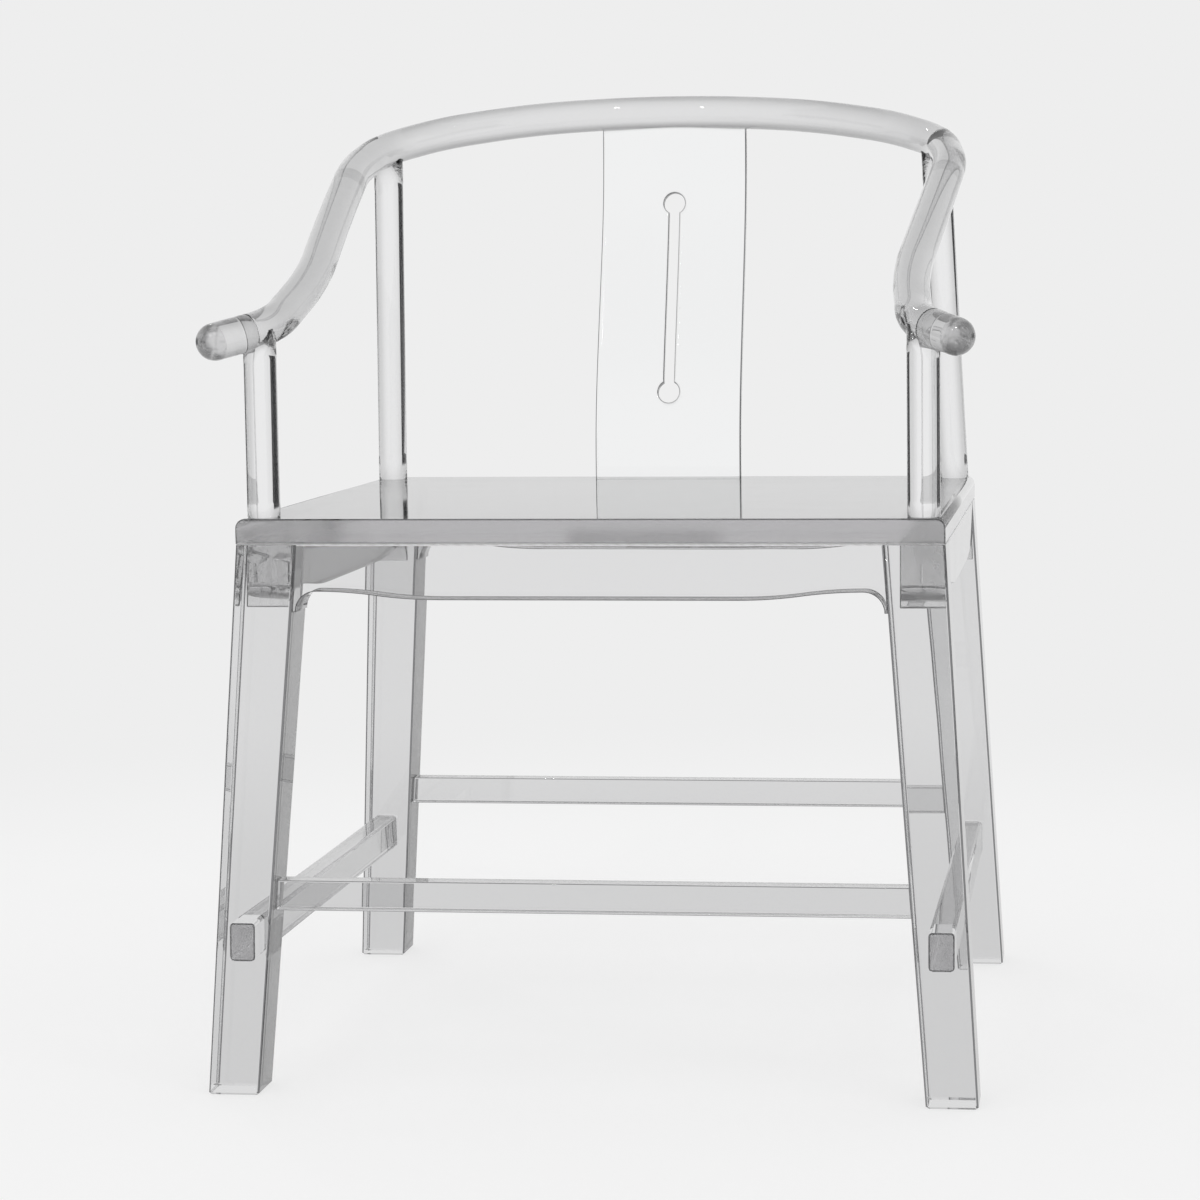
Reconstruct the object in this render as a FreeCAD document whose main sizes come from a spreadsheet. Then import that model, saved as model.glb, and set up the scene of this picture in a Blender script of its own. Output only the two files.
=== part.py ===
import FreeCAD, Part
import os
from math import hypot, sqrt, tan

import Sketcher
from FreeCAD import Placement, Rotation, Vector

# A horseshoe back armchair glued up from solid clear acrylic, in millimetres.
# The floor is Z = 0, the chair faces -Y, and left is -X. The origin lies on the floor
# under the middle of the chair's whole width and depth.

# Driving dimensions
SIZES = {
    "seat_width": 600,
    "seat_depth": 540,
    "seat_thickness": 22,
    "seat_height": 489,
    "seat_side_round": 8,
    # Legs are square, thinner at the floor, and lean outwards to both sides
    "leg_top_size": 52,
    "leg_foot_size": 44,
    "leg_splay_side": 27.5,
    "leg_splay_depth": 31,
    "leg_edge_round": 2.5,
    # Aprons hang from the seat between the legs; depths are measured down from the seat
    "apron_thickness": 40,
    "apron_middle_depth": 46.5,
    "apron_end_depth": 39.5,
    "apron_foot_depth": 57,
    "apron_foot_width": 3,
    "apron_wave_length": 104,
    # Low bars between the legs; heights are those of their undersides
    "front_bar_height": 155,
    "back_bar_height": 158,
    "cross_bar_tall": 26,
    "cross_bar_thick": 19,
    "cross_bar_round": 1.5,
    "side_bar_height": 114.5,
    "side_bar_tall": 32,
    "side_bar_thick": 21.5,
    "side_bar_round": 3,
    "side_bar_tenon": 12,
    # Round posts on the seat
    "post_diameter": 28,
    "post_side_inset": 19,
    "front_post_inset": 24,
    "back_post_inset": 26,
    # The horseshoe rail, measured to the middle of its round section; its crest overhangs
    # the seat's back edge
    "rail_diameter": 32,
    "crest_height": 851,
    "crest_overhang": 35,
    "grip_height": 638.7,
    # The back splat, a bent sheet that stands in a groove in the seat
    "splat_width": 144,
    "splat_thickness": 12,
    "splat_inset": 40,
    "splat_foot_straight": 25,
    "splat_top_straight": 46,
    "splat_tenon": 6,
    # The keyhole slot: its lower hole's height above the seat, and its upper hole's depth
    # below the middle of the crest
    "keyhole_rise": 85,
    "keyhole_drop": 91,
    "keyhole_diameter": 21,
    "keyhole_slot": 10,
    "keyhole_rim_round": 3.5,
    # Room for cement around a tenon, how far a cut runs past what it cuts, and the shortest
    # straight run that the rail keeps between two bends
    "cement_gap": 0.1,
    "overrun": 60,
    "shortest_run": 0.1,
}

# Corners of the rail's right half, from the crest to the grip's end. Each row holds the share
# of the post's distance from the middle, the share of the way from front post to crest, and
# the share of the rise from grip to crest. Arcs round every corner.
RAIL_CORNER_SHARES = [
    (0.168, 1.0, 1.0),
    (0.500, 0.957, 0.971),
    (0.782, 0.881, 0.907),
    (0.921, 0.817, 0.846),
    (0.977, 0.770, 0.806),
    (1.014, 0.677, 0.726),
    (0.979, 0.448, 0.497),
    (0.936, 0.209, 0.240),
    (0.966, 0.051, 0.080),
    (0.998, 0.006, 0.045),
    (1.103, -0.063, 0.0),
]
# Where the rail's joints lie, as shares of the straight stretch between two bends
ARM_JOINT_RUN = 5
ARM_JOINT_SHARE = 0.32
GRIP_JOINT_RUN = 9
GRIP_JOINT_SHARE = 0.02
# The back posts reach the rail at the middle of this run
BACK_POST_RUN = 3
HALF_SHARE = 0.5

# The splat bends round two corners, this share of its bent height in from either end
SPLAT_CORNER_SHARE = 0.18

# An edge lies along a direction when this share of its length does
ALONG_SHARE = 0.95

# Places worked out from the driving dimensions
LEG_HEIGHT = "(sizes.seat_height - sizes.seat_thickness)"
RAIL_RADIUS = "(sizes.rail_diameter / 2)"
CREST_SETBACK = "(sizes.seat_depth + sizes.crest_overhang)"
SEAT_FRONT = f"((sizes.leg_splay_depth - {CREST_SETBACK} - {RAIL_RADIUS}) / 2)"
SEAT_MIDDLE = f"({SEAT_FRONT} + sizes.seat_depth / 2)"
POST_X = "(sizes.seat_width / 2 - sizes.post_side_inset)"
FRONT_POST_Y = f"({SEAT_FRONT} + sizes.front_post_inset)"
BACK_POST_Y = f"({SEAT_FRONT} + sizes.seat_depth - sizes.back_post_inset)"
CREST_Y = f"({SEAT_FRONT} + {CREST_SETBACK})"
SPLAT_Y = f"({SEAT_FRONT} + sizes.seat_depth - sizes.splat_inset)"
LEG_LOSS = "(sizes.leg_top_size - sizes.leg_foot_size)"
SPLAT_LEAN = "(sizes.crest_overhang + sizes.splat_inset)"
SPLAT_BEND_LOW = "(sizes.seat_height + sizes.splat_foot_straight)"
SPLAT_BEND_HIGH = "(sizes.crest_height - sizes.splat_top_straight)"
SPLAT_CORNER = f"({SPLAT_CORNER_SHARE} * ({SPLAT_BEND_HIGH} - {SPLAT_BEND_LOW}))"
SPLAT_RISE = f"({SPLAT_BEND_HIGH} - {SPLAT_BEND_LOW} - 2 * {SPLAT_CORNER})"
KEYHOLE_LOW = "sizes.keyhole_rise"
KEYHOLE_HIGH = "(sizes.crest_height - sizes.keyhole_drop - sizes.seat_height)"

LEFT, RIGHT = -1, 1
FRONT, BACK = -1, 1
SIDE_NAMES = {LEFT: "left", RIGHT: "right"}
END_NAMES = {FRONT: "front", BACK: "back"}

doc = FreeCAD.newDocument("horseshoe_armchair")
parts = {}


def write_sheet():
    sheet = doc.addObject("Spreadsheet::Sheet", "sizes")
    for row, (alias, number) in enumerate(SIZES.items(), start=1):
        cell = f"A{row}"
        sheet.set(cell, str(number))
        sheet.setAlias(cell, alias)
    doc.recompute()
    return sheet


def value(expression):
    """The number that an expression in the sheet's sizes gives."""
    return float(sheet.evalExpression(expression.replace("sizes.", "")))


def keep(name, shape_object):
    """Makes an object one of the chair's pieces, under the piece's own name."""
    shape_object.Label = name
    parts[name] = shape_object
    return shape_object


def new_body(name):
    body = doc.addObject("PartDesign::Body", f"{name}_body")
    return keep(name, body)


def attach(body, item, role):
    """Puts a sketch or solid on one of the body's own origin planes."""
    plane = next(feature for feature in body.Origin.OriginFeatures if feature.Role == role)
    item.AttachmentSupport = (plane, [""])
    item.MapMode = "FlatFace"


def new_sketch(body, name, role, offset):
    """A sketch on one of the body's origin planes, moved by three expressions."""
    sketch = body.newObject("Sketcher::SketchObject", name)
    attach(body, sketch, role)
    for axis, expression in zip("xyz", offset):
        sketch.setExpression(f"AttachmentOffset.Base.{axis}", expression)
    return sketch


def pin_point(sketch, geometry, end, x, y):
    """Holds one end of a line or arc at a place given by two expressions."""
    origin = (-1, 1)
    for kind, expression in (("DistanceX", x), ("DistanceY", y)):
        number = sketch.addConstraint(
            Sketcher.Constraint(kind, *origin, geometry, end, value(expression))
        )
        sketch.setExpression(f"Constraints[{number}]", expression)


def draw_outline(sketch, corners):
    """Draws a closed outline. Each corner is (x, y, radius, side): radius is None for a
    straight edge to the next corner, or that edge's radius, with its centre on the given
    side of the edge (1 is left of the way drawn)."""
    points = [Vector(value(x), value(y), 0) for x, y, _, _ in corners]
    for index, (_, _, radius, side) in enumerate(corners):
        start = points[index]
        end = points[(index + 1) % len(points)]
        if radius is None:
            sketch.addGeometry(Part.LineSegment(start, end))
            continue
        chord = end - start
        to_centre = sqrt(value(radius) ** 2 - (chord.Length / 2) ** 2)
        across = Vector(-chord.y, chord.x, 0).normalize() * side
        bulge = across * (to_centre - value(radius))
        sketch.addGeometry(Part.Arc(start, start + chord / 2 + bulge, end))
    count = len(corners)
    for index, (x, y, radius, side) in enumerate(corners):
        # An arc whose centre is on its left runs forwards; the other kind is stored backwards
        before = corners[index - 1]
        before_end = 1 if before[2] is not None and before[3] < 0 else 2
        own_start = 2 if radius is not None and side < 0 else 1
        sketch.addConstraint(
            Sketcher.Constraint("Coincident", (index - 1) % count, before_end, index, own_start)
        )
        pin_point(sketch, index, own_start, x, y)
        if radius is not None:
            number = sketch.addConstraint(Sketcher.Constraint("Radius", index, value(radius)))
            sketch.setExpression(f"Constraints[{number}]", radius)


def draw_rectangle(sketch, width, height):
    """Draws a rectangle around the sketch's own origin."""
    half_width = f"({width}) / 2"
    half_height = f"({height}) / 2"
    draw_outline(
        sketch,
        [
            (f"-({half_width})", f"-({half_height})", None, None),
            (half_width, f"-({half_height})", None, None),
            (half_width, half_height, None, None),
            (f"-({half_width})", half_height, None, None),
        ],
    )


def draw_rounded_rectangle(sketch, width, height, radius):
    x, y, r = f"(({width}) / 2)", f"(({height}) / 2)", f"({radius})"
    draw_outline(
        sketch,
        [
            (f"-{x} + {r}", f"-{y}", None, None),
            (f"{x} - {r}", f"-{y}", r, 1),
            (x, f"-{y} + {r}", None, None),
            (x, f"{y} - {r}", r, 1),
            (f"{x} - {r}", y, None, None),
            (f"-{x} + {r}", y, r, 1),
            (f"-{x}", f"{y} - {r}", None, None),
            (f"-{x}", f"-{y} + {r}", r, 1),
        ],
    )


def pad(body, sketch, length, symmetric=False):
    feature = body.newObject("PartDesign::Pad", f"{sketch.Name}_pad")
    feature.Profile = sketch
    feature.setExpression("Length", length)
    feature.SideType = "Symmetric" if symmetric else "One side"
    doc.recompute()
    return feature


def pocket(body, sketch, length, symmetric=False, backwards=False):
    """Cuts a sketch out of the body, and makes sure that it took something away."""
    volume = body.Shape.Volume
    feature = body.newObject("PartDesign::Pocket", f"{sketch.Name}_pocket")
    feature.Profile = sketch
    feature.setExpression("Length", length)
    feature.SideType = "Symmetric" if symmetric else "One side"
    feature.Reversed = backwards
    doc.recompute()
    if body.Shape.Volume >= volume:
        raise RuntimeError(f"{sketch.Name} cuts nothing")
    return feature


def round_edges(body, name, radius, chosen):
    """Rounds those edges of the body's last feature that the given test chooses."""
    tip = body.Tip
    names = [f"Edge{index}" for index, edge in enumerate(tip.Shape.Edges, start=1) if chosen(edge)]
    feature = body.newObject("PartDesign::Fillet", name)
    feature.Base = (tip, names)
    feature.setExpression("Radius", radius)
    doc.recompute()
    return feature


def runs_along(edge, direction):
    """True for an edge whose ends lie nearly along a direction from each other."""
    ends = edge.Vertexes
    if len(ends) < 2:
        return False
    way = ends[1].Point - ends[0].Point
    return way.Length > 0 and abs(way.normalize().dot(direction)) > ALONG_SHARE


# The splay and taper of a leg at a height


def leg_drop_share(height):
    """How far down the leg a height is, as a share of the leg's height."""
    return f"(1 - ({height}) / {LEG_HEIGHT})"


def leg_size_at(height):
    return f"(sizes.leg_top_size - {LEG_LOSS} * {leg_drop_share(height)})"


def half_gap_at(height, across_width):
    """Half the way between two legs' inner faces, across the seat's width or its depth."""
    seat = "seat_width" if across_width else "seat_depth"
    splay = "leg_splay_side" if across_width else "leg_splay_depth"
    outer = f"(sizes.{seat} / 2 + sizes.{splay} * {leg_drop_share(height)})"
    return f"({outer} - {leg_size_at(height)})"


def leg_middle_at(height, across_width):
    """How far a leg's own middle is from the middle of the seat."""
    return f"({half_gap_at(height, across_width)} + {leg_size_at(height)} / 2)"


def make_leg(side, end):
    name = f"{END_NAMES[end]}_{SIDE_NAMES[side]}_leg"
    body = new_body(name)
    wedge = body.newObject("PartDesign::AdditiveWedge", f"{name}_wedge")
    attach(body, wedge, "XY_Plane")
    # A wedge narrows along its own Y, so it is stood up: its Y is the chair's Z, and its Z is -Y
    wedge.AttachmentOffset = Placement(Vector(0, 0, 0), Rotation(Vector(1, 0, 0), 90))
    wedge.setExpression("Ymin", "0")
    wedge.setExpression("Ymax", LEG_HEIGHT)
    for level, height in (("", "0"), ("2", LEG_HEIGHT)):
        x = f"{side} * {leg_middle_at(height, True)}"
        y = f"{SEAT_MIDDLE} + {end} * {leg_middle_at(height, False)}"
        half = f"{leg_size_at(height)} / 2"
        wedge.setExpression(f"X{level}min", f"{x} - {half}")
        wedge.setExpression(f"X{level}max", f"{x} + {half}")
        wedge.setExpression(f"Z{level}min", f"-({y}) - {half}")
        wedge.setExpression(f"Z{level}max", f"-({y}) + {half}")
    doc.recompute()
    round_edges(
        body,
        f"{name}_round",
        "sizes.leg_edge_round",
        lambda edge: runs_along(edge, Vector(0, 0, 1)),
    )
    cut_side_bar_mortise(body, name, side, end)
    return body


# Where a side bar lies, for the bar itself and for the mortises that hold it

SIDE_BAR_MIDDLE_Z = "(sizes.side_bar_height + sizes.side_bar_tall / 2)"
SIDE_BAR_X = leg_middle_at(SIDE_BAR_MIDDLE_Z, True)
SIDE_BAR_END_Y = f"({SEAT_MIDDLE} + {half_gap_at(SIDE_BAR_MIDDLE_Z, False)} + sizes.side_bar_tenon)"


def cut_side_bar_mortise(body, name, side, end):
    """A mortise right through a front leg, or as deep as the tenon in a back leg."""
    x = f"{side} * {SIDE_BAR_X}"
    y = f"-({SEAT_FRONT})" if end == FRONT else f"-({SIDE_BAR_END_Y})"
    sketch = new_sketch(body, f"{name}_mortise", "XZ_Plane", (x, SIDE_BAR_MIDDLE_Z, y))
    width = "sizes.side_bar_thick + 2 * sizes.cement_gap"
    height = "sizes.side_bar_tall + 2 * sizes.cement_gap"
    draw_rounded_rectangle(sketch, width, height, "sizes.side_bar_round + sizes.cement_gap")
    if end == FRONT:
        pocket(body, sketch, "2 * (sizes.leg_top_size + sizes.overrun)", symmetric=True)
    else:
        pocket(body, sketch, "sizes.leg_top_size", backwards=True)


def make_side_bar(side):
    """Its front end shows in the leg's leaning front face; its back end is a blind tenon."""
    name = f"{SIDE_NAMES[side]}_stretcher"
    body = new_body(name)
    low = "sizes.side_bar_height"
    high = "(sizes.side_bar_height + sizes.side_bar_tall)"
    sketch = new_sketch(body, f"{name}_side_view", "YZ_Plane", ("0", "0", f"{side} * {SIDE_BAR_X}"))

    def front_y(height):
        return f"{SEAT_FRONT} - sizes.leg_splay_depth * {leg_drop_share(height)}"

    draw_outline(
        sketch,
        [
            (front_y(low), low, None, None),
            (SIDE_BAR_END_Y, low, None, None),
            (SIDE_BAR_END_Y, high, None, None),
            (front_y(high), high, None, None),
        ],
    )
    pad(body, sketch, "sizes.side_bar_thick", symmetric=True)
    round_edges(
        body,
        f"{name}_round",
        "sizes.side_bar_round",
        lambda edge: runs_along(edge, Vector(0, 1, 0)),
    )
    return body


def make_cross_bar(end):
    """A bar between the inner faces of the two front legs, or of the two back legs."""
    name = f"{END_NAMES[end]}_stretcher"
    body = new_body(name)
    low = f"sizes.{END_NAMES[end]}_bar_height"
    high = f"({low} + sizes.cross_bar_tall)"
    middle = f"({low} + sizes.cross_bar_tall / 2)"
    y = f"({SEAT_MIDDLE} + {end} * {leg_middle_at(middle, False)})"
    sketch = new_sketch(body, f"{name}_front_view", "XZ_Plane", ("0", "0", f"-{y}"))
    draw_outline(
        sketch,
        [
            (f"-{half_gap_at(low, True)}", low, None, None),
            (half_gap_at(low, True), low, None, None),
            (half_gap_at(high, True), high, None, None),
            (f"-{half_gap_at(high, True)}", high, None, None),
        ],
    )
    pad(body, sketch, "sizes.cross_bar_thick", symmetric=True)
    round_edges(
        body,
        f"{name}_round",
        "sizes.cross_bar_round",
        lambda edge: runs_along(edge, Vector(1, 0, 0)),
    )
    return body


def apron_half_outline(across_width):
    """Half of an apron, from its middle out, with heights above the tip of its foot."""
    foot_z = f"({LEG_HEIGHT} - sizes.apron_foot_depth)"
    gap_top = half_gap_at(LEG_HEIGHT, across_width)
    gap_foot = half_gap_at(foot_z, across_width)
    curve = "(sizes.apron_foot_depth - sizes.apron_end_depth)"
    middle = "(sizes.apron_foot_depth - sizes.apron_middle_depth)"
    drop = "(sizes.apron_middle_depth - sizes.apron_end_depth)"
    foot_inner = f"({gap_foot} - sizes.apron_foot_width)"
    wave_start = f"({foot_inner} - {curve})"
    wave_end = f"({wave_start} - sizes.apron_wave_length)"
    wave_radius = f"((sizes.apron_wave_length ^ 2 + {drop} ^ 2) / (4 * {drop}))"
    turn_x = f"(({wave_start} + {wave_end}) / 2)"
    turn_z = f"(({curve} + {middle}) / 2)"
    return [
        ("0", "sizes.apron_foot_depth", None, None),
        ("0", middle, None, None),
        (wave_end, middle, wave_radius, 1),
        (turn_x, turn_z, wave_radius, -1),
        (wave_start, curve, curve, -1),
        (foot_inner, "0", None, None),
        (gap_foot, "0", None, None),
        (gap_top, "sizes.apron_foot_depth", None, None),
    ]


def make_apron(name, role, across_width, offset_along_normal, offset_sideways):
    """An apron with an arched lower edge, drawn as one half and mirrored."""
    body = new_body(name)
    foot_z = f"({LEG_HEIGHT} - sizes.apron_foot_depth)"
    offset = (offset_sideways, foot_z, offset_along_normal)
    sketch = new_sketch(body, f"{name}_half_view", role, offset)
    draw_outline(sketch, apron_half_outline(across_width))
    half = pad(body, sketch, "sizes.apron_thickness", symmetric=True)
    mirror = body.newObject("PartDesign::Mirrored", f"{name}_mirror")
    mirror.Originals = [half]
    mirror.MirrorPlane = (sketch, ["V_Axis"])
    body.Tip = mirror
    doc.recompute()
    return body


def make_seat():
    body = new_body("seat_panel")
    sketch = new_sketch(body, "seat_outline", "XY_Plane", ("0", SEAT_MIDDLE, LEG_HEIGHT))
    draw_rectangle(sketch, "sizes.seat_width", "sizes.seat_depth")
    pad(body, sketch, "sizes.seat_thickness")
    top = value("sizes.seat_height")
    round_edges(
        body,
        "seat_side_rounds",
        "sizes.seat_side_round",
        lambda edge: runs_along(edge, Vector(0, 1, 0))
        and edge.CenterOfMass.z > top - value("sizes.seat_thickness") / 2,
    )
    groove = new_sketch(body, "splat_groove", "XY_Plane", ("0", SPLAT_Y, "sizes.seat_height"))
    draw_rectangle(
        groove,
        "sizes.splat_width + 2 * sizes.cement_gap",
        "sizes.splat_thickness + 2 * sizes.cement_gap",
    )
    pocket(body, groove, "sizes.splat_tenon")
    return body


# Seen from the side the splat is a smooth S: upright at the seat and under the crest


def draw_splat_face(sketch, end):
    """The front or back face: one curve held by six control points, of which three stand
    over each other at either end. The middle two lie where they keep the sheet's thickness."""
    half = "sizes.splat_thickness / 2"
    lift = f"{half} * {SPLAT_LEAN} / (sqrt({SPLAT_LEAN} ^ 2 + {SPLAT_RISE} ^ 2) + {SPLAT_RISE})"
    low_y = f"{SPLAT_Y} + {end} * {half}"
    high_y = f"{CREST_Y} + {end} * {half}"
    places = [
        (low_y, "sizes.seat_height - sizes.splat_tenon"),
        (low_y, SPLAT_BEND_LOW),
        (low_y, f"{SPLAT_BEND_LOW} + {SPLAT_CORNER} - {end} * {lift}"),
        (high_y, f"{SPLAT_BEND_HIGH} - {SPLAT_CORNER} - {end} * {lift}"),
        (high_y, SPLAT_BEND_HIGH),
        (high_y, "sizes.crest_height"),
    ]
    curve = Part.BSplineCurve()
    curve.buildFromPoles([Vector(value(y), value(z), 0) for y, z in places])
    number = sketch.addGeometry(curve)
    sketch.exposeInternalGeometry(number)
    for index, (y, z) in enumerate(places, start=1):
        pin_point(sketch, number + index, 3, y, z)
    return number


def draw_splat_side(sketch):
    front = draw_splat_face(sketch, FRONT)
    back = draw_splat_face(sketch, BACK)
    for end in (1, 2):
        corners = [sketch.getPoint(face, end) for face in (front, back)]
        line = sketch.addGeometry(Part.LineSegment(*corners))
        for line_end, face in enumerate((front, back), start=1):
            sketch.addConstraint(Sketcher.Constraint("Coincident", line, line_end, face, end))


def draw_keyhole(sketch):
    """A round hole above, a round hole below and a straight slot between them."""
    radius = "(sizes.keyhole_diameter / 2)"
    half_slot = "(sizes.keyhole_slot / 2)"
    rise = f"sqrt({radius} ^ 2 - {half_slot} ^ 2)"
    low = f"({KEYHOLE_LOW} + {rise})"
    high = f"({KEYHOLE_HIGH} - {rise})"
    bottom = f"({KEYHOLE_LOW} - {radius})"
    top = f"({KEYHOLE_HIGH} + {radius})"
    draw_outline(
        sketch,
        [
            (half_slot, low, None, None),
            (half_slot, high, radius, 1),
            (radius, KEYHOLE_HIGH, radius, 1),
            ("0", top, radius, 1),
            (f"-{radius}", KEYHOLE_HIGH, radius, 1),
            (f"-{half_slot}", high, None, None),
            (f"-{half_slot}", low, radius, 1),
            (f"-{radius}", KEYHOLE_LOW, radius, 1),
            ("0", bottom, radius, 1),
            (radius, KEYHOLE_LOW, radius, 1),
        ],
    )


def make_splat(crest):
    body = doc.addObject("PartDesign::Body", "splat_sheet")
    side_view = new_sketch(body, "splat_side_view", "YZ_Plane", ("0", "0", "0"))
    draw_splat_side(side_view)
    pad(body, side_view, "sizes.splat_width", symmetric=True)
    keyhole = new_sketch(body, "keyhole", "XZ_Plane", ("0", "sizes.seat_height", f"-({SPLAT_Y})"))
    draw_keyhole(keyhole)
    pocket(body, keyhole, f"2 * ({SPLAT_LEAN} + sizes.overrun)", symmetric=True)
    rim_low = value(f"sizes.seat_height + {KEYHOLE_LOW} - sizes.keyhole_diameter")
    rim_high = value(f"sizes.seat_height + {KEYHOLE_HIGH} + sizes.keyhole_diameter")
    rim_half = value("sizes.keyhole_diameter")

    def on_rim(edge):
        box = edge.BoundBox
        inside = abs(box.XMin) < rim_half and abs(box.XMax) < rim_half
        through = runs_along(edge, Vector(0, 1, 0))
        return inside and box.ZMin > rim_low and box.ZMax < rim_high and not through

    round_edges(body, "keyhole_rim", "sizes.keyhole_rim_round", on_rim)
    return keep("back_splat", cut("splat_under_crest", body, crest))


# The rail's path


def rail_corner(shares):
    x_share, y_share, z_share = shares
    front, back = value(FRONT_POST_Y), value(CREST_Y)
    low, high = value("sizes.grip_height"), value("sizes.crest_height")
    x = x_share * value(POST_X)
    return Vector(x, front + y_share * (back - front), low + z_share * (high - low))


def mirrored(point):
    return Vector(-point.x, point.y, point.z)


def corner_arc(before, corner, after):
    """The arc that rounds a corner, as long as its shorter run allows."""
    way_in = corner - before
    way_out = after - corner
    reach = min(way_in.Length, way_out.Length) * HALF_SHARE
    way_in.normalize()
    way_out.normalize()
    half_turn = way_in.getAngle(way_out) * HALF_SHARE
    radius = reach / tan(half_turn)
    inward = (way_out - way_in).normalize()
    start = corner - way_in * reach
    end = corner + way_out * reach
    to_centre = hypot(radius, reach)
    return start, corner + inward * (to_centre - radius), end


def rail_path(name, corners, first, last, start, end):
    """A path from a start point, round the corners numbered first to last, to an end point."""
    edges = []
    here = start
    for index in range(first, last + 1):
        arc_start, arc_middle, arc_end = corner_arc(*corners[index - 1 : index + 2])
        if (arc_start - here).Length > value("sizes.shortest_run"):
            edges.append(Part.LineSegment(here, arc_start).toShape())
            here = arc_start
        edges.append(Part.Arc(here, arc_middle, arc_end).toShape())
        here = arc_end
    edges.append(Part.LineSegment(here, end).toShape())
    path = doc.addObject("Part::Feature", f"{name}_path")
    path.Shape = Part.Wire(edges)
    return path


def sweep_rod(name, path):
    """The rail's round section, swept along a path."""
    first = path.Shape.OrderedEdges[0]
    start = first.valueAt(first.FirstParameter)
    way = first.tangentAt(first.FirstParameter)
    section = doc.addObject("Part::Circle", f"{name}_section")
    section.setExpression("Radius", RAIL_RADIUS)
    section.Placement = Placement(start, Rotation(Vector(0, 0, 1), way))
    sweep = doc.addObject("Part::Sweep", f"{name}_sweep")
    sweep.Sections = [section]
    sweep.Spine = (path, [f"Edge{index}" for index in range(1, len(path.Shape.Edges) + 1)])
    sweep.Solid = True
    sweep.Frenet = False
    doc.recompute()
    return keep(name, sweep)


def along(start, end, share):
    return start + (end - start) * share


def straight_point(corners, run, share):
    """A point on the straight stretch that a run of the rail keeps between its two bends."""
    start = corner_arc(*corners[run - 1 : run + 2])[-1]
    end = corners[run + 1]
    if run + 2 < len(corners):
        end = corner_arc(*corners[run : run + 3])[0]
    return along(start, end, share)


def make_rail():
    """Makes the crest, both arms and both grips, and gives the rail's right corners."""
    right = [rail_corner(shares) for shares in RAIL_CORNER_SHARES]
    whole = [mirrored(corner) for corner in reversed(right)] + right
    half = len(right)
    arm_joint = straight_point(right, ARM_JOINT_RUN, ARM_JOINT_SHARE)
    grip_joint = straight_point(right, GRIP_JOINT_RUN, GRIP_JOINT_SHARE)
    first, last = half - 1 - ARM_JOINT_RUN, half + ARM_JOINT_RUN
    crest_path = rail_path("crest_rail", whole, first, last, mirrored(arm_joint), arm_joint)
    sweep_rod("crest_rail", crest_path)
    for side in (LEFT, RIGHT):
        place = mirrored if side == LEFT else Vector
        corners = [place(corner) for corner in right]
        name = f"{SIDE_NAMES[side]}_arm_rail"
        ends = place(arm_joint), place(grip_joint)
        arm_path = rail_path(name, corners, ARM_JOINT_RUN + 1, GRIP_JOINT_RUN, *ends)
        sweep_rod(name, arm_path)
        make_grip(side, place(grip_joint), corners[-1])
    return right


def make_grip(side, joint, tip):
    """A straight rod past the front post, with a half-round end."""
    name = f"{SIDE_NAMES[side]}_hand_grip"
    rod = doc.addObject("Part::Cylinder", f"{name}_rod")
    rod.setExpression("Radius", RAIL_RADIUS)
    rod.Height = (tip - joint).Length
    rod.Placement = Placement(joint, Rotation(Vector(0, 0, 1), tip - joint))
    dome = doc.addObject("Part::Sphere", f"{name}_dome")
    dome.setExpression("Radius", RAIL_RADIUS)
    dome.Placement = Placement(tip, Rotation(Vector(0, 0, 1), tip - joint))
    grip = doc.addObject("Part::Fuse", f"{name}_solid")
    grip.Base = rod
    grip.Tool = dome
    grip.Refine = True
    doc.recompute()
    return keep(name, grip)


def cut(name, base, tool):
    result = doc.addObject("Part::Cut", name)
    result.Base = base
    result.Tool = tool
    doc.recompute()
    return result


def post_rod(name, foot, top):
    rod = doc.addObject("Part::Cylinder", f"{name}_rod")
    rod.setExpression("Radius", "sizes.post_diameter / 2")
    rod.Height = (top - foot).Length
    rod.Placement = Placement(foot, Rotation(Vector(0, 0, 1), top - foot))
    doc.recompute()
    return rod


def make_front_post(side):
    """Upright on the seat, with its top shaped to the rail's underside."""
    name = f"front_{SIDE_NAMES[side]}_post"
    x, y = side * value(POST_X), value(FRONT_POST_Y)
    foot = Vector(x, y, value("sizes.seat_height"))
    upright = Part.LineSegment(foot, Vector(x, y, value("sizes.crest_height"))).toShape()
    arm, grip = parts[f"{SIDE_NAMES[side]}_arm_rail"], parts[f"{SIDE_NAMES[side]}_hand_grip"]
    path = doc.getObject(f"{SIDE_NAMES[side]}_arm_rail_path")
    nearest = upright.distToShape(path.Shape)[1][0][0]
    rod = post_rod(name, foot, Vector(x, y, nearest.z))
    under_arm = cut(f"{name}_under_arm", rod, arm)
    return keep(name, cut(f"{name}_under_grip", under_arm, grip))


def make_back_post(side, rail_corners):
    """Leans forwards and inwards from the seat to the middle of one run of the rail."""
    name = f"back_{SIDE_NAMES[side]}_post"
    x, y = side * value(POST_X), value(BACK_POST_Y)
    foot = Vector(x, y, value("sizes.seat_height"))
    top = along(rail_corners[BACK_POST_RUN], rail_corners[BACK_POST_RUN + 1], HALF_SHARE)
    top = Vector(side * top.x, top.y, top.z)
    below = foot - (top - foot).normalize() * value("sizes.post_diameter / 2")
    rod = post_rod(name, below, top)
    on_seat = cut(f"{name}_on_seat", rod, parts["seat_panel"])
    return keep(name, cut(f"{name}_under_crest", on_seat, parts["crest_rail"]))


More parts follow.
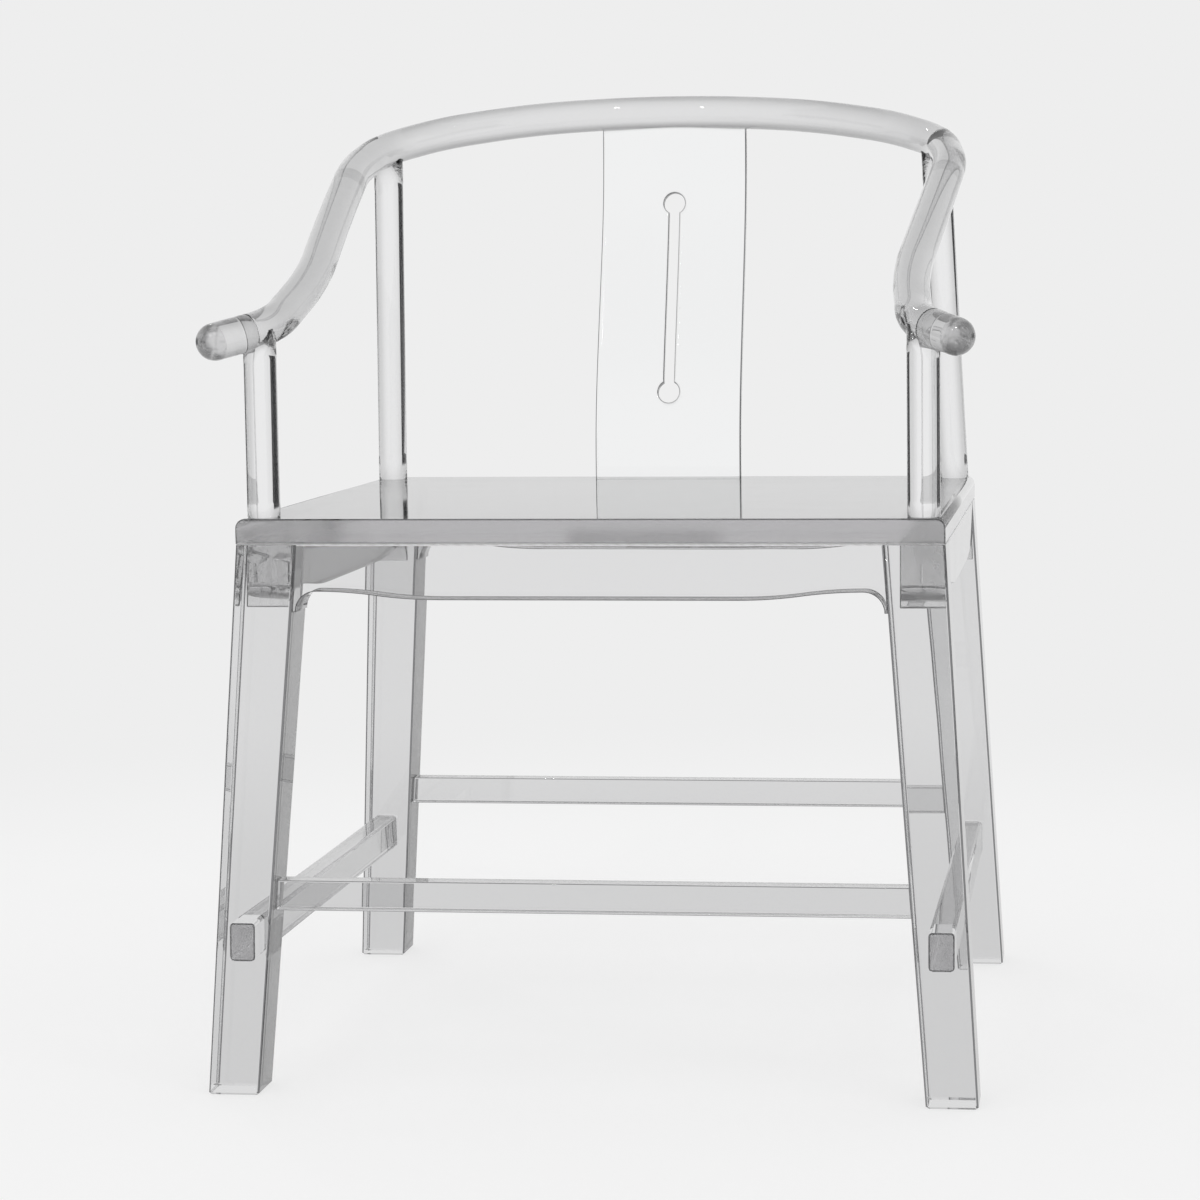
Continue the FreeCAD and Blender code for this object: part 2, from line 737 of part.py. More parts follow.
def make_chair():
    make_seat()
    for side in (LEFT, RIGHT):
        for end in (FRONT, BACK):
            make_leg(side, end)
        make_side_bar(side)
    for end in (FRONT, BACK):
        make_cross_bar(end)
        y = f"({SEAT_MIDDLE} + {end} * (sizes.seat_depth - sizes.apron_thickness) / 2)"
        make_apron(f"{END_NAMES[end]}_apron", "XZ_Plane", True, f"-{y}", "0")
    for side in (LEFT, RIGHT):
        x = f"{side} * (sizes.seat_width - sizes.apron_thickness) / 2"
        make_apron(f"{SIDE_NAMES[side]}_apron", "YZ_Plane", False, x, SEAT_MIDDLE)
    rail_corners = make_rail()
    make_splat(parts["crest_rail"])
    for side in (LEFT, RIGHT):
        make_front_post(side)
        make_back_post(side, rail_corners)


def check_document():
    """Stops at an object that failed, or a piece that is not one good solid."""
    for item in doc.Objects:
        if "Invalid" in item.State or "Error" in item.State:
            raise RuntimeError(f"{item.Name} failed: {item.State}")
    for name, piece in parts.items():
        shape = piece.Shape
        if shape.isNull() or not shape.isValid() or len(shape.Solids) != 1:
            raise RuntimeError(f"{name} is not one valid solid")


def write_parts():
    os.makedirs("parts", exist_ok=True)
    for name, piece in parts.items():
        piece.Shape.exportStep(os.path.join("parts", f"{name}.step"))


sheet = write_sheet()
make_chair()
doc.recompute()
check_document()
write_parts()
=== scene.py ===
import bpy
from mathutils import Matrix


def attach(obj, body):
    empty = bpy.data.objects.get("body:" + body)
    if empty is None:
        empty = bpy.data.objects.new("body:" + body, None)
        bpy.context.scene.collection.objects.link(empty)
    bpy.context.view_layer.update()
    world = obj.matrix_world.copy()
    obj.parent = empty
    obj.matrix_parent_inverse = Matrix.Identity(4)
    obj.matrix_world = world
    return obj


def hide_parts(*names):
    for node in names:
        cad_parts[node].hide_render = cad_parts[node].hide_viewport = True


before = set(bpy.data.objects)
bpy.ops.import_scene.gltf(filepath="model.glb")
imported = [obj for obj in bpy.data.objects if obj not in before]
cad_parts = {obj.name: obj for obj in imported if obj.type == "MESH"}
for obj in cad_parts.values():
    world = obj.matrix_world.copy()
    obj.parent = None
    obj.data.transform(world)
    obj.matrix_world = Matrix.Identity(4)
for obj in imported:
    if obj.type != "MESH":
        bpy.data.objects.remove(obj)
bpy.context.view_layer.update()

from math import atan2, cos, hypot, pi, radians, sin, sqrt, tan

import bmesh
import bpy
import numpy as np
from bpy.props import FloatProperty, FloatVectorProperty, IntProperty, PointerProperty
from bpy.types import Operator, Panel, PropertyGroup
from mathutils import Matrix, Vector

bl_info = {
    "name": "Clear horseshoe armchair",
    "version": (1, 0, 0),
    "blender": (4, 5, 0),
    "location": "3D View > Sidebar > Armchair",
    "description": "Dresses a horseshoe back armchair in polished clear acrylic",
    "category": "Object",
}

LEFT, RIGHT = -1, 1
FRONT, BACK = -1, 1
SIDE_NAMES = {LEFT: "left", RIGHT: "right"}
END_NAMES = {FRONT: "front", BACK: "back"}

# Which finish a face has. A board edge shows the long way through a board, an arris is a narrow round
# with a nearly black tint, painted shade that draws its dark outline, a ground face is left satin and
# pale and shows as a painted bright line, a joined end is an apron's end, cemented over a hazy face, and
# a dome is the round end of a hand grip, in a darker, partly matt grey that paints the shade it refracts.
FINISHES = POLISHED, CEMENTED, BOARD_EDGE, SHADED_ARRIS, GROUND_HIGHLIGHT, JOINED, SHADED_DOME = range(7)

# Painted shade: how much a surface's colour is darkened where it is seen at a slant, which draws dark
# edges on the clear pieces: where that starts and is full, as Layer Weight's Facing gives it, and the
# share that it takes. Every other tint has the block's.
PAINTED_SLANT_SHADE = {
    "rod": (0.0, 0.32, 0.34),
    "rail": (0.0, 0.5, 0.36),
    "bar": (0.22, 0.85, 0.5),
    "sheet": (0.1, 0.6, 0.8),
    "dome": (0.1, 0.8, 0.5),
    "block": (0.22, 0.85, 0.96),
}

# Roughness that less finely polished faces add
SATIN = {"board_edge": 0.2, "dome": 0.16}

# How the faint cloud inside is stretched, and how much it shows. The seat's runs from side to side.
BOARD_CLOUD, PLAIN_CLOUD = ((0.5, 9.0, 9.0), 0.9), ((1.0, 1.0, 1.0), 0.1)

ACRYLIC_IOR = 1.49

# Films of cement: tint, roughness, size and detail of the haze, its share, and the film's least alpha
FILMS = {
    "cemented_joint": ("joint", 0.6, 30.0, 1.0, 0.16, 0.04),
    "joined_end": ("joined", 0.7, 22.0, 2.0, 0.08, 0.24),
}

# Corners of the rail's right half, from the crest to the grip's end, as shares of the post's
# distance from the middle, of the way from front post to crest, and of the rise to the crest
RAIL_CORNER_SHARES = [
    (0.168, 1.0, 1.0),
    (0.500, 0.957, 0.971),
    (0.782, 0.881, 0.907),
    (0.921, 0.817, 0.846),
    (0.977, 0.770, 0.806),
    (1.014, 0.677, 0.726),
    (0.979, 0.448, 0.497),
    (0.936, 0.209, 0.240),
    (0.966, 0.051, 0.080),
    (0.998, 0.006, 0.045),
    (1.103, -0.063, 0.0),
]
# Which straight run between two bends has each joint, and where on it, and which a back post meets
ARM_JOINT_RUN, ARM_JOINT_SHARE = 5, 0.32
GRIP_JOINT_RUN, GRIP_JOINT_SHARE = 9, 0.02
BACK_POST_RUN = 3

# The rail's middle line is made of points this far apart. A bent rod eases in and out of its bends,
# here over so many of these points.
RAIL_STEP, EASE_POINTS = 0.0015, 13

# Points closer than this are one point
MERGE = 1e-6
# Room that a post or the splat leaves under the rail that its top is shaped to
RAIL_GAP = 0.00005
# How deep the splat's groove goes below its dry tenon
TENON_GAP = 0.0004

# Where the rail's surface is looked for: so far to the sides of a front post, and from so many post
# radii or rail diameters below the rail's middle, halving the rest of the way each time
NEAR_POST, POST_REACH, SHEET_REACH, HALVINGS = 0.05, 2.6, 1.6, 30

# Narrow bevels: under a leg, around its cemented top, at a post's ends, and along the splat
FOOT_BEVEL, LEG_GROOVE, POST_ARRIS, SHEET_BEVEL = 0.0018, 0.0003, 0.0004, 0.0009

# How finely the round shapes are divided
POST_STEPS, WAVE_STEPS, DOME_STEPS = 12, 12, 24
KEYHOLE_STEPS, SLOT_STEPS, RIM_STEPS, FACE_STEPS = 28, 60, 8, 24
CORNER_STEPS = KEYHOLE_STEPS // 2

# What clear plastic shows of the studio: a pale room, dimmer high up, with dark flags far out on
# either side
ROOM, DARK, DIM = (0.93, 0.93, 0.932, 1.0), (0.03, 0.03, 0.032, 1.0), (0.12, 0.12, 0.125, 1.0)

# The floor reaches so far out that its edge is never seen
FLOOR_GREY, FLOOR_RADIUS, FLOOR_SIDES = (0.855, 0.855, 0.855, 1.0), 80, 96

# Small lamps, which draw the glints, and how many surfaces light is followed through
LAMPS = {
    "left_lamp": (-0.97, -2.71, 2.95),
    "middle_lamp": (0.27, -2.49, 3.42),
    "right_lamp": (2.23, -1.57, 3.12),
    "back_lamp": (-1.6, 2.2, 3.4),
}
LAMP_WIDTH, LAMP_HEIGHT, LAMP_POWER, LAMP_AIM = 0.06, 0.28, 3.2, Vector((0, 0, 0.5))
BOUNCES, CLEAR_BOUNCES = 32, 48


def length(name, description, default):
    """A size that the sidebar shows as a length."""
    return FloatProperty(name=name, description=description, default=default, unit="LENGTH", precision=4)


def colour(name, description, default):
    """A tint that the sidebar shows as a colour."""
    return FloatVectorProperty(
        name=name, description=description, default=default, subtype="COLOR", min=0, max=1
    )


class SeatSizes(PropertyGroup):
    width: length("Width", "Across the seat board", 0.6)
    depth: length("Depth", "From the seat's front edge to its back edge", 0.54)
    thickness: length("Thickness", "Of the seat board", 0.022)
    height: length("Height", "Of the seat's top above the floor", 0.489)
    side_round: length("Side round", "Radius of the two long top edges", 0.008)
    arris: length("Arris", "Width of the polished bevel on every sharp edge", 0.0012)


class LegSizes(PropertyGroup):
    top: length("Top", "Width of a leg under the seat", 0.052)
    foot: length("Foot", "Width of a leg at the floor", 0.044)
    splay_side: length("Splay to the side", "How far a foot stands out sideways", 0.0275)
    splay_depth: length("Splay in depth", "How far a foot stands out to front or back", 0.031)
    edge_round: length("Edge round", "Radius of a leg's upright edges", 0.0025)


class ApronSizes(PropertyGroup):
    thickness: length("Thickness", "Of each apron", 0.04)
    middle_depth: length("Middle depth", "At the middle of an apron", 0.0465)
    end_depth: length("End depth", "Where the apron turns down to its foot", 0.0395)
    foot_depth: length("Foot depth", "At the apron's two feet", 0.057)
    foot_width: length("Foot width", "Of a foot's tip", 0.003)
    wave: length("Wave", "Length of the wave in the lower edge", 0.104)


class BarSizes(PropertyGroup):
    front_height: length("Front height", "Of the front stretcher's underside", 0.155)
    back_height: length("Back height", "Of the back stretcher's underside", 0.158)
    cross_tall: length("Height of section", "Of the front and back stretchers", 0.026)
    cross_thick: length("Thickness", "Of the front and back stretchers", 0.019)
    side_height: length("Side height", "Of the side stretchers' undersides", 0.1145)
    side_tall: length("Side section", "Height of a side stretcher's section", 0.032)
    side_thick: length("Side thickness", "Of a side stretcher", 0.0215)
    side_round: length("Side round", "Radius of a side stretcher's long edges", 0.003)
    tenon: length("Tenon", "How far a side stretcher enters a back leg", 0.012)
    gap: length("Gap", "Around a tenon in its mortise", 0.00015)


class RailSizes(PropertyGroup):
    diameter: length("Rail diameter", "Of the horseshoe rail", 0.032)
    overhang: length("Crest overhang", "Of the rail's middle behind the seat", 0.035)
    crest_height: length("Crest height", "Of the rail's middle at the back", 0.851)
    grip_height: length("Grip height", "Of the rail's middle at its ends", 0.6387)
    post_diameter: length("Post diameter", "Of the four posts", 0.028)
    post_inset: length("Post inset", "Of every post's middle from the seat's side", 0.019)
    front_inset: length("Front post inset", "From the seat's front edge", 0.024)
    back_inset: length("Back post inset", "From the seat's back edge", 0.026)
    post_tenon: length("Post tenon", "How deep a post's end is cemented into the seat", 0.003)
    joint_groove: length("Joint groove", "Width of the fine groove around each rail joint", 0.0007)
    sides: IntProperty(name="Sides", description="Flat sides of a smooth rod", default=72, min=24)


class SplatSizes(PropertyGroup):
    width: length("Width", "Across the splat", 0.144)
    thickness: length("Thickness", "Of the splat's sheet", 0.012)
    inset: length("Inset", "Of the splat's middle from the seat's back edge", 0.04)
    foot_straight: length("Foot straight", "Upright stretch above the seat", 0.025)
    top_straight: length("Top straight", "Upright stretch under the crest's middle", 0.046)
    corner_share: FloatProperty(
        name="Corner share", description="Share of the bent height that each bend takes", default=0.18
    )
    tenon: length("Tenon", "Depth of the groove that holds the splat", 0.006)
    keyhole_rise: length("Keyhole rise", "Of the lower hole above the seat", 0.085)
    keyhole_drop: length("Keyhole drop", "Of the upper hole below the crest's middle", 0.091)
    keyhole_diameter: length("Keyhole diameter", "Of the two round holes", 0.021)
    keyhole_slot: length("Keyhole slot", "Width of the slot between the holes", 0.01)
    rim_round: length("Rim round", "Radius of the keyhole's polished rim", 0.0035)


class Finish(PropertyGroup):
    sheet: colour("Thin sheet", "Tint of the splat", (0.94, 0.945, 0.945))
    board: colour("Seat board", "Tint of the seat", (0.86, 0.86, 0.863))
    board_edge: colour("Board edge", "Tint of the seat's edges", (0.50, 0.495, 0.505))
    rail: colour("Rail", "Tint of the horseshoe rail", (0.785, 0.785, 0.788))
    # A darker grey than the rail: painted shade that stands in for what the grips' round ends refract
    dome: colour("Grip ends", "Tint of the grips' round ends", (0.62, 0.62, 0.623))
    rod: colour("Posts", "Tint of the posts", (0.88, 0.88, 0.883))
    bar: colour("Bars", "Tint of the stretchers", (0.765, 0.765, 0.768))
    block: colour("Aprons", "Tint of the aprons", (0.77, 0.77, 0.773))
    leg: colour("Legs", "Tint of the legs", (0.73, 0.73, 0.733))
    # Nearly black: painted shade that draws a dark outline along each narrow polished edge
    arris: colour("Arris", "Tint of the narrow polished edges", (0.07, 0.07, 0.073))
    # Pale and nearly opaque: a painted highlight that shows as a bright line along the edges that have it
    ground: colour("Ground face", "Tint of a finely ground face", (0.96, 0.96, 0.962))
    joint: colour("Cemented joint", "Tint of a cemented face", (0.03, 0.03, 0.032))
    joined: colour("Joined end", "Tint of an apron's end in its joint", (0.9, 0.9, 0.905))


class Studio(PropertyGroup):
    background: colour("Background", "What shows around the chair", (0.855, 0.855, 0.855))
    lens: FloatProperty(name="Lens", description="Focal length on a 36 mm wide frame", default=95.83)
    shift: FloatProperty(name="Shift", description="Sideways shift of the lens", default=-0.12)
    place: FloatVectorProperty(
        name="Camera",
        description="Where the camera stands",
        default=(0.4415, -2.9022, 0.6961),
        subtype="XYZ",
    )
    aim: FloatVectorProperty(
        name="Aim",
        description="The camera's turn to the right, its tilt down and its roll",
        default=(radians(-6.721), radians(5.943), radians(-0.583)),
        subtype="EULER",
    )


class Armchair(PropertyGroup):
    seat: PointerProperty(type=SeatSizes)
    leg: PointerProperty(type=LegSizes)
    apron: PointerProperty(type=ApronSizes)
    bar: PointerProperty(type=BarSizes)
    rail: PointerProperty(type=RailSizes)
    splat: PointerProperty(type=SplatSizes)
    finish: PointerProperty(type=Finish)
    studio: PointerProperty(type=Studio)


def chair():
    """The sizes and tints, as the sidebar has them."""
    return bpy.context.scene.armchair


# Places that several pieces share


def leg_height():
    return chair().seat.height - chair().seat.thickness


def seat_front():
    sizes = chair()
    setback = sizes.seat.depth + sizes.rail.overhang
    return (sizes.leg.splay_depth - setback - sizes.rail.diameter / 2) / 2


def seat_back():
    return seat_front() + chair().seat.depth


def seat_middle():
    return seat_front() + chair().seat.depth / 2


def crest_y():
    return seat_back() + chair().rail.overhang


def splat_y():
    return seat_back() - chair().splat.inset


def post_x():
    return chair().seat.width / 2 - chair().rail.post_inset


def front_post_y():
    return seat_front() + chair().rail.front_inset


def back_post_y():
    return seat_back() - chair().rail.back_inset


def drop_share(height):
    """How far down a leg a height is, from 0 under the seat to 1 at the floor."""
    return 1 - height / leg_height()


def leg_size(height):
    leg = chair().leg
    return leg.top - (leg.top - leg.foot) * drop_share(height)


def half_gap(height, across_width):
    """Half the way between two legs' inner faces, across the seat's width or its depth."""
    seat, leg = chair().seat, chair().leg
    size, splay = (seat.width, leg.splay_side) if across_width else (seat.depth, leg.splay_depth)
    return size / 2 + splay * drop_share(height) - leg_size(height)


def leg_middle(height, across_width):
    return half_gap(height, across_width) + leg_size(height) / 2


# Meshes


class Shell:
    """Points, faces and finishes of one closed piece."""

    def __init__(self):
        self.points, self.faces, self.finishes, self.smooth = [], [], [], []

    def ring(self, points):
        start = len(self.points)
        self.points.extend(tuple(point) for point in points)
        return list(range(start, len(self.points)))

    def face(self, corners, finish=POLISHED, smooth=False):
        self.faces.append(corners)
        self.finishes.append(finish)
        self.smooth.append(smooth)

    def band(self, low, high, finish=POLISHED, smooth=False):
        """A closed strip of quads. Finish and smooth may be lists with an entry for each quad."""
        count = len(low)
        for index in range(count):
            after = (index + 1) % count
            self.face(
                (low[index], low[after], high[after], high[index]),
                finish[index] if isinstance(finish, list) else finish,
                smooth[index] if isinstance(smooth, list) else smooth,
            )

    def loft(self, rings, finishes, smooth, ends=(POLISHED, POLISHED)):
        """A solid through rings of points. Each band between two rings has its own finish."""
        rings = [self.ring(points) for points in rings]
        for low, high, finish in zip(rings, rings[1:], finishes):
            self.band(low, high, finish, smooth)
        self.face(rings[0], ends[0])
        self.face(rings[-1], ends[1])

    def mesh(self, name):
        made = bpy.data.meshes.new(name)
        made.from_pydata(self.points, [], self.faces)
        fill_slots(made)
        made.polygons.foreach_set("material_index", self.finishes)
        made.polygons.foreach_set("use_smooth", self.smooth)
        tidy(made)
        return made


def fill_slots(mesh):
    """Gives a mesh a slot for each finish."""
    while len(mesh.materials) < len(FINISHES):
        mesh.materials.append(None)


def tidy(mesh):
    """Merges double points and turns every face outwards."""
    work = bmesh.new()
    work.from_mesh(mesh)
    bmesh.ops.remove_doubles(work, verts=work.verts, dist=MERGE)
    bmesh.ops.recalc_face_normals(work, faces=work.faces)
    work.to_mesh(mesh)
    work.free()
    mesh.update()


def inset_outline(outline, distance):
    """Moves every side of a closed flat outline inwards."""
    points = np.array(outline, float)
    area = np.sum(points[:, 0] * np.roll(points[:, 1], -1) - points[:, 1] * np.roll(points[:, 0], -1))
    way = np.roll(points, -1, 0) - points
    way /= np.linalg.norm(way, axis=1)[:, None]
    inward = np.stack([-way[:, 1], way[:, 0]], 1) * np.sign(area)
    before = np.roll(inward, 1, 0)
    bisector = inward + before
    bisector /= np.sum(bisector * inward, 1)[:, None]
    return points + bisector * distance


def rectangle(half_width, half_height):
    """A rectangle's corners around its middle."""
    return [(x * half_width, y * half_height) for x, y in ((-1, -1), (1, -1), (1, 1), (-1, 1))]


def corner_arc(before, corner, after, radius=None):
    """Centre, start and end of the arc that rounds a corner. Without a radius it is as long as the
    shorter run allows."""
    way_in, way_out = corner - before, after - corner
    half_turn = way_in.angle(way_out) / 2
    reach = radius * tan(half_turn) if radius else min(way_in.length, way_out.length) / 2
    way_in.normalize()
    way_out.normalize()
    centre = corner + (way_out - way_in).normalized() * hypot(reach / tan(half_turn), reach)
    return centre, corner - way_in * reach, corner + way_out * reach


def arc_points(centre, start, end, steps):
    """Points from the start to the end of an arc."""
    first, last = start - centre, end - centre
    turn = first.angle(last)
    points = []
    for step in range(steps + 1):
        share = step / steps
        points.append(centre + (first * sin(turn * (1 - share)) + last * sin(turn * share)) / sin(turn))
    return points


def rounded_outline(corners, radius, steps=6):
    """A polygon with round corners, and for each of its sides whether it is part of a round."""
    points, smooth = [], []
    radii = radius if isinstance(radius, (list, tuple)) else [radius] * len(corners)
    corners = [Vector(corner) for corner in corners]
    for index, corner in enumerate(corners):
        if not radii[index]:
            points.append(tuple(corner))
            smooth.append(False)
            continue
        arc = corner_arc(corners[index - 1], corner, corners[(index + 1) % len(corners)], radii[index])
        points += [tuple(point) for point in arc_points(*arc, steps)]
        smooth += [True] * steps + [False]
    return points, smooth


def arris_bands(smooth):
    """Only the middle of each round gets the arris finish, whose painted shade reads as a dark line."""
    count = len(smooth)
    return [
        SHADED_ARRIS if all(smooth[(index + near) % count] for near in (-1, 0, 1)) else POLISHED
        for index in range(count)
    ]


def prism(outline, smooth, place, low, high, arris, finishes=POLISHED):
    """Pushes an outline from one depth to another, with a narrow bevel around both ends."""
    inner = inset_outline(outline, arris)
    sections = (inner, low), (outline, low + arris), (outline, high - arris), (inner, high)
    rings = [[place(u, v, depth) for u, v in section] for section, depth in sections]
    shell = Shell()
    # Both bevels take the arris finish: painted shade that outlines the piece
    shell.loft(rings, (SHADED_ARRIS, finishes, SHADED_ARRIS), smooth)
    return shell.mesh("prism")


def cement_patch(mesh, normal, low, high, finish=CEMENTED):
    """Outlines a box on the faces that look one way, and gives those inside it a joint's finish."""
    work = bmesh.new()
    work.from_mesh(mesh)
    normal, low, high = Vector(normal), Vector(low), Vector(high)

    def facing():
        return [
            face
            for face in work.faces
            if face.normal.dot(normal) > 0.95
            and all(
                max(vert.co[axis] for vert in face.verts) > low[axis] - MERGE
                and min(vert.co[axis] for vert in face.verts) < high[axis] + MERGE
                for axis in range(3)
            )
        ]

    for axis in range(3):
        if abs(normal[axis]) > 0.5:
            continue
        for limit in (low[axis], high[axis]):
            faces = facing()
            edges = {edge for face in faces for edge in face.edges}
            verts = {vert for face in faces for vert in face.verts}
            at, across = Vector(), Vector()
            at[axis], across[axis] = limit, 1
            cut = list(verts) + list(edges) + faces
            bmesh.ops.bisect_plane(work, geom=cut, plane_co=at, plane_no=across, dist=MERGE)
    for face in facing():
        middle = face.calc_center_median()
        if all(low[axis] - MERGE < middle[axis] < high[axis] + MERGE for axis in range(3)):
            face.material_index = finish
    work.to_mesh(mesh)
    work.free()
    mesh.update()


def add_object(name, mesh):
    made = bpy.data.objects.new(name, mesh)
    bpy.context.scene.collection.objects.link(made)
    return made


def plain_copy(source):
    """The mesh that an object's modifiers make, with the modifiers and the object gone."""
    graph = bpy.context.evaluated_depsgraph_get()
    mesh = bpy.data.meshes.new_from_object(source.evaluated_get(graph), depsgraph=graph)
    bpy.data.objects.remove(source)
    return mesh


def cut_away(mesh, cutters):
    """Cuts other meshes out of a mesh. Each new face keeps the finish of the mesh that cut it."""
    body = add_object("cut_body", mesh)
    tools = [add_object("cutter", cutter) for cutter in cutters]
    for tool in tools:
        modifier = body.modifiers.new("Cut", "BOOLEAN")
        modifier.operation = "DIFFERENCE"
        modifier.solver = "EXACT"
        modifier.object = tool
        modifier.material_mode = "INDEX"
    made = plain_copy(body)
    for tool in tools:
        bpy.data.objects.remove(tool)
    return made


def finish_piece(node, mesh, tint):
    """Puts a mesh in the place of the model's node of the same name."""
    mesh.name = f"{node}_mesh"
    fill_slots(mesh)
    for finish, material in (
        (POLISHED, acrylic(tint)),
        (CEMENTED, cement_film("cemented_joint")),
        (BOARD_EDGE, acrylic("board_edge")),
        (SHADED_ARRIS, acrylic("arris")),
        (GROUND_HIGHLIGHT, ground_face()),
        (JOINED, cement_film("joined_end")),
        (SHADED_DOME, acrylic("dome")),
    ):
        mesh.materials[finish] = material
    piece = add_object(f"{node}_clear", mesh)
    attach(piece, "root")
    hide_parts(node)
    return piece


# Shader maths


class Wire:
    """A shader socket that signs like + work on. Turned round, < and > stand for each other."""

    def __init__(self, maker, socket):
        self.maker, self.socket = maker, socket

    def output(self, name):
        """Another output of the same node."""
        return Wire(self.maker, self.socket.node.outputs[name])

    def __add__(self, other):
        return self.maker.maths("ADD", self, other)

    def __mul__(self, other):
        return self.maker.maths("MULTIPLY", self, other)

    def __lt__(self, other):
        return self.maker.maths("LESS_THAN", self, other)

    def __gt__(self, other):
        return self.maker.maths("GREATER_THAN", self, other)

    __radd__ = __add__
    __rmul__ = __mul__


class Maker:
    """Adds nodes to one shader."""

    def __init__(self, owner):
        owner.use_nodes = True
        self.tree = owner.node_tree
        self.tree.nodes.clear()

    def node(self, kind, settings=None, sockets=None, output=0):
        """Any node, with its settings and what its sockets are given. Gives one of its outputs."""
        made = self.tree.nodes.new(kind)
        for name, setting in (settings or {}).items():
            setattr(made, name, setting)
        for name, given in (sockets or {}).items():
            if isinstance(given, Wire):
                self.tree.links.new(given.socket, made.inputs[name])
            else:
                made.inputs[name].default_value = given
        return Wire(self, made.outputs[output]) if made.outputs else made

    def maths(self, operation, first, second=0.0):
        return self.node("ShaderNodeMath", {"operation": operation}, {0: first, 1: second})

    def mix_colour(self, factor, first, second):
        return self.node("ShaderNodeMix", {"data_type": "RGBA"}, {0: factor, 6: first, 7: second}, 2)

    def step(self, value, start, end):
        """Rises smoothly from 0 to 1 as the value goes from start to end."""
        return self.node(
            "ShaderNodeMapRange",
            {"interpolation_type": "SMOOTHSTEP"},
            {"Value": value, "From Min": start, "From Max": end, "To Min": 0.0, "To Max": 1.0},
        )

    def place(self):
        """Where a point is on its own piece."""
        return self.node("ShaderNodeTexCoord", output=3)

    def axes(self, vector, names):
        """The named parts of a vector."""
        parts = self.node("ShaderNodeSeparateXYZ", None, {"Vector": vector})
        return [parts.output(name) for name in names]

    def noise(self, place, scale, detail):
        return self.node("ShaderNodeTexNoise", None, {"Vector": place, "Scale": scale, "Detail": detail})

    def bump(self, strength, distance, height):
        sockets = {"Strength": strength, "Distance": distance, "Height": height}
        return self.node("ShaderNodeBump", None, sockets)

    def glow(self, rgba, strength=1.0):
        return self.node("ShaderNodeEmission", None, {"Color": rgba, "Strength": strength})

    def either(self, factor, first, second):
        """The first surface where the factor is 0, the second where it is 1."""
        return self.node("ShaderNodeMixShader", None, {0: factor, 1: first, 2: second})

    def show(self, surface, output="ShaderNodeOutputMaterial"):
        self.node(output, None, {"Surface": surface})

    def plastic(self, sockets):
        """A surface of plastic, which is also what shows."""
        self.show(self.node("ShaderNodeBsdfPrincipled", None, sockets))


def opaque(rgb, share=1.0):
    """A share of a colour, with full alpha."""
    return (*(channel * share for channel in rgb), 1.0)


def shared_material(name, draw, *given):
    """The material of that name. Several pieces have it, so it is drawn only once."""
    material = bpy.data.materials.get(name)
    if material is None:
        material = bpy.data.materials.new(name)
        draw(Maker(material), *given)
    return material


def acrylic(tint):
    return shared_material(f"acrylic_{tint}", draw_acrylic, tint)


def ground_face():
    return shared_material("ground_face", draw_ground_face_highlight)


def cement_film(name):
    return shared_material(name, draw_film, *FILMS[name])


def draw_acrylic(make, tint):
    """Solid polished acrylic: clear and faintly grey, with painted shade that darkens it where it is seen
    at a slant, a few dust specks inside, faint waves from polishing and a trace of rubbing."""
    place = make.place()
    rgb = getattr(chair().finish, tint)
    specks = make.node(
        "ShaderNodeTexVoronoi", {"feature": "F1"}, {"Vector": place, "Scale": 24.0, "Randomness": 1.0}
    )
    chosen = make.node("ShaderNodeSeparateColor", None, {"Color": specks.output("Color")})
    speck = (specks < 0.011) * (chosen < 0.3)
    stretch, cloudy = BOARD_CLOUD if tint == "board" else PLAIN_CLOUD
    drawn = make.node("ShaderNodeMapping", None, {"Vector": place, "Scale": stretch})
    clear = make.mix_colour(make.noise(drawn, 7.0, 2.0) * cloudy, opaque(rgb), opaque(rgb, 0.9))
    # Painted shade: the tint runs towards near black where the surface is seen at a slant
    slant = make.node("ShaderNodeLayerWeight", None, {"Blend": 0.5}, 1)
    start, full, share = PAINTED_SLANT_SHADE.get(tint, PAINTED_SLANT_SHADE["block"])
    slant_shaded = make.mix_colour(make.step(slant, start, full) * share, clear, opaque(rgb, 0.02))
    rubbed = make.noise(place, 55.0, 6.0) > 0.62
    # The grips' round ends let only part of the light through, so their darker grey shows as a matt
    # colour: painted shade
    dome = tint == "dome"
    make.plastic(
        {
            "Base Color": make.mix_colour(speck * 0.6, slant_shaded, (0.2, 0.2, 0.21, 1.0)),
            "Roughness": rubbed * 0.018 + speck * 0.3 + SATIN.get(tint, 0.0),
            "Coat Weight": 1.0 if dome else 0.0,
            "IOR": ACRYLIC_IOR,
            "Transmission Weight": 0.65 if dome else 1.0,
            "Normal": make.bump(0.12, 0.0006, make.noise(place, 16.0, 1.0)),
        }
    )


def draw_ground_face_highlight(make):
    """A finely ground face: pale satin with the slanting marks of the paper. It lets little light
    through, so its paleness shows as a bright line along an edge: a painted highlight.
    """
    place = make.place()
    rgb = chair().finish.ground
    marks = make.node(
        "ShaderNodeTexWave",
        {"bands_direction": "DIAGONAL"},
        {"Vector": place, "Scale": 60.0, "Distortion": 3.0, "Detail": 2.0, "Detail Scale": 2.0},
    )
    grain = make.noise(place, 900.0, 2.0)
    make.plastic(
        {
            "Base Color": make.mix_colour(marks * 0.6, opaque(rgb), opaque(rgb, 0.8)),
            "Roughness": grain * 0.1 + 0.38,
            "IOR": ACRYLIC_IOR,
            "Transmission Weight": 0.12,
            "Normal": make.bump(0.2, 0.0002, marks + grain * 0.5),
        }
    )


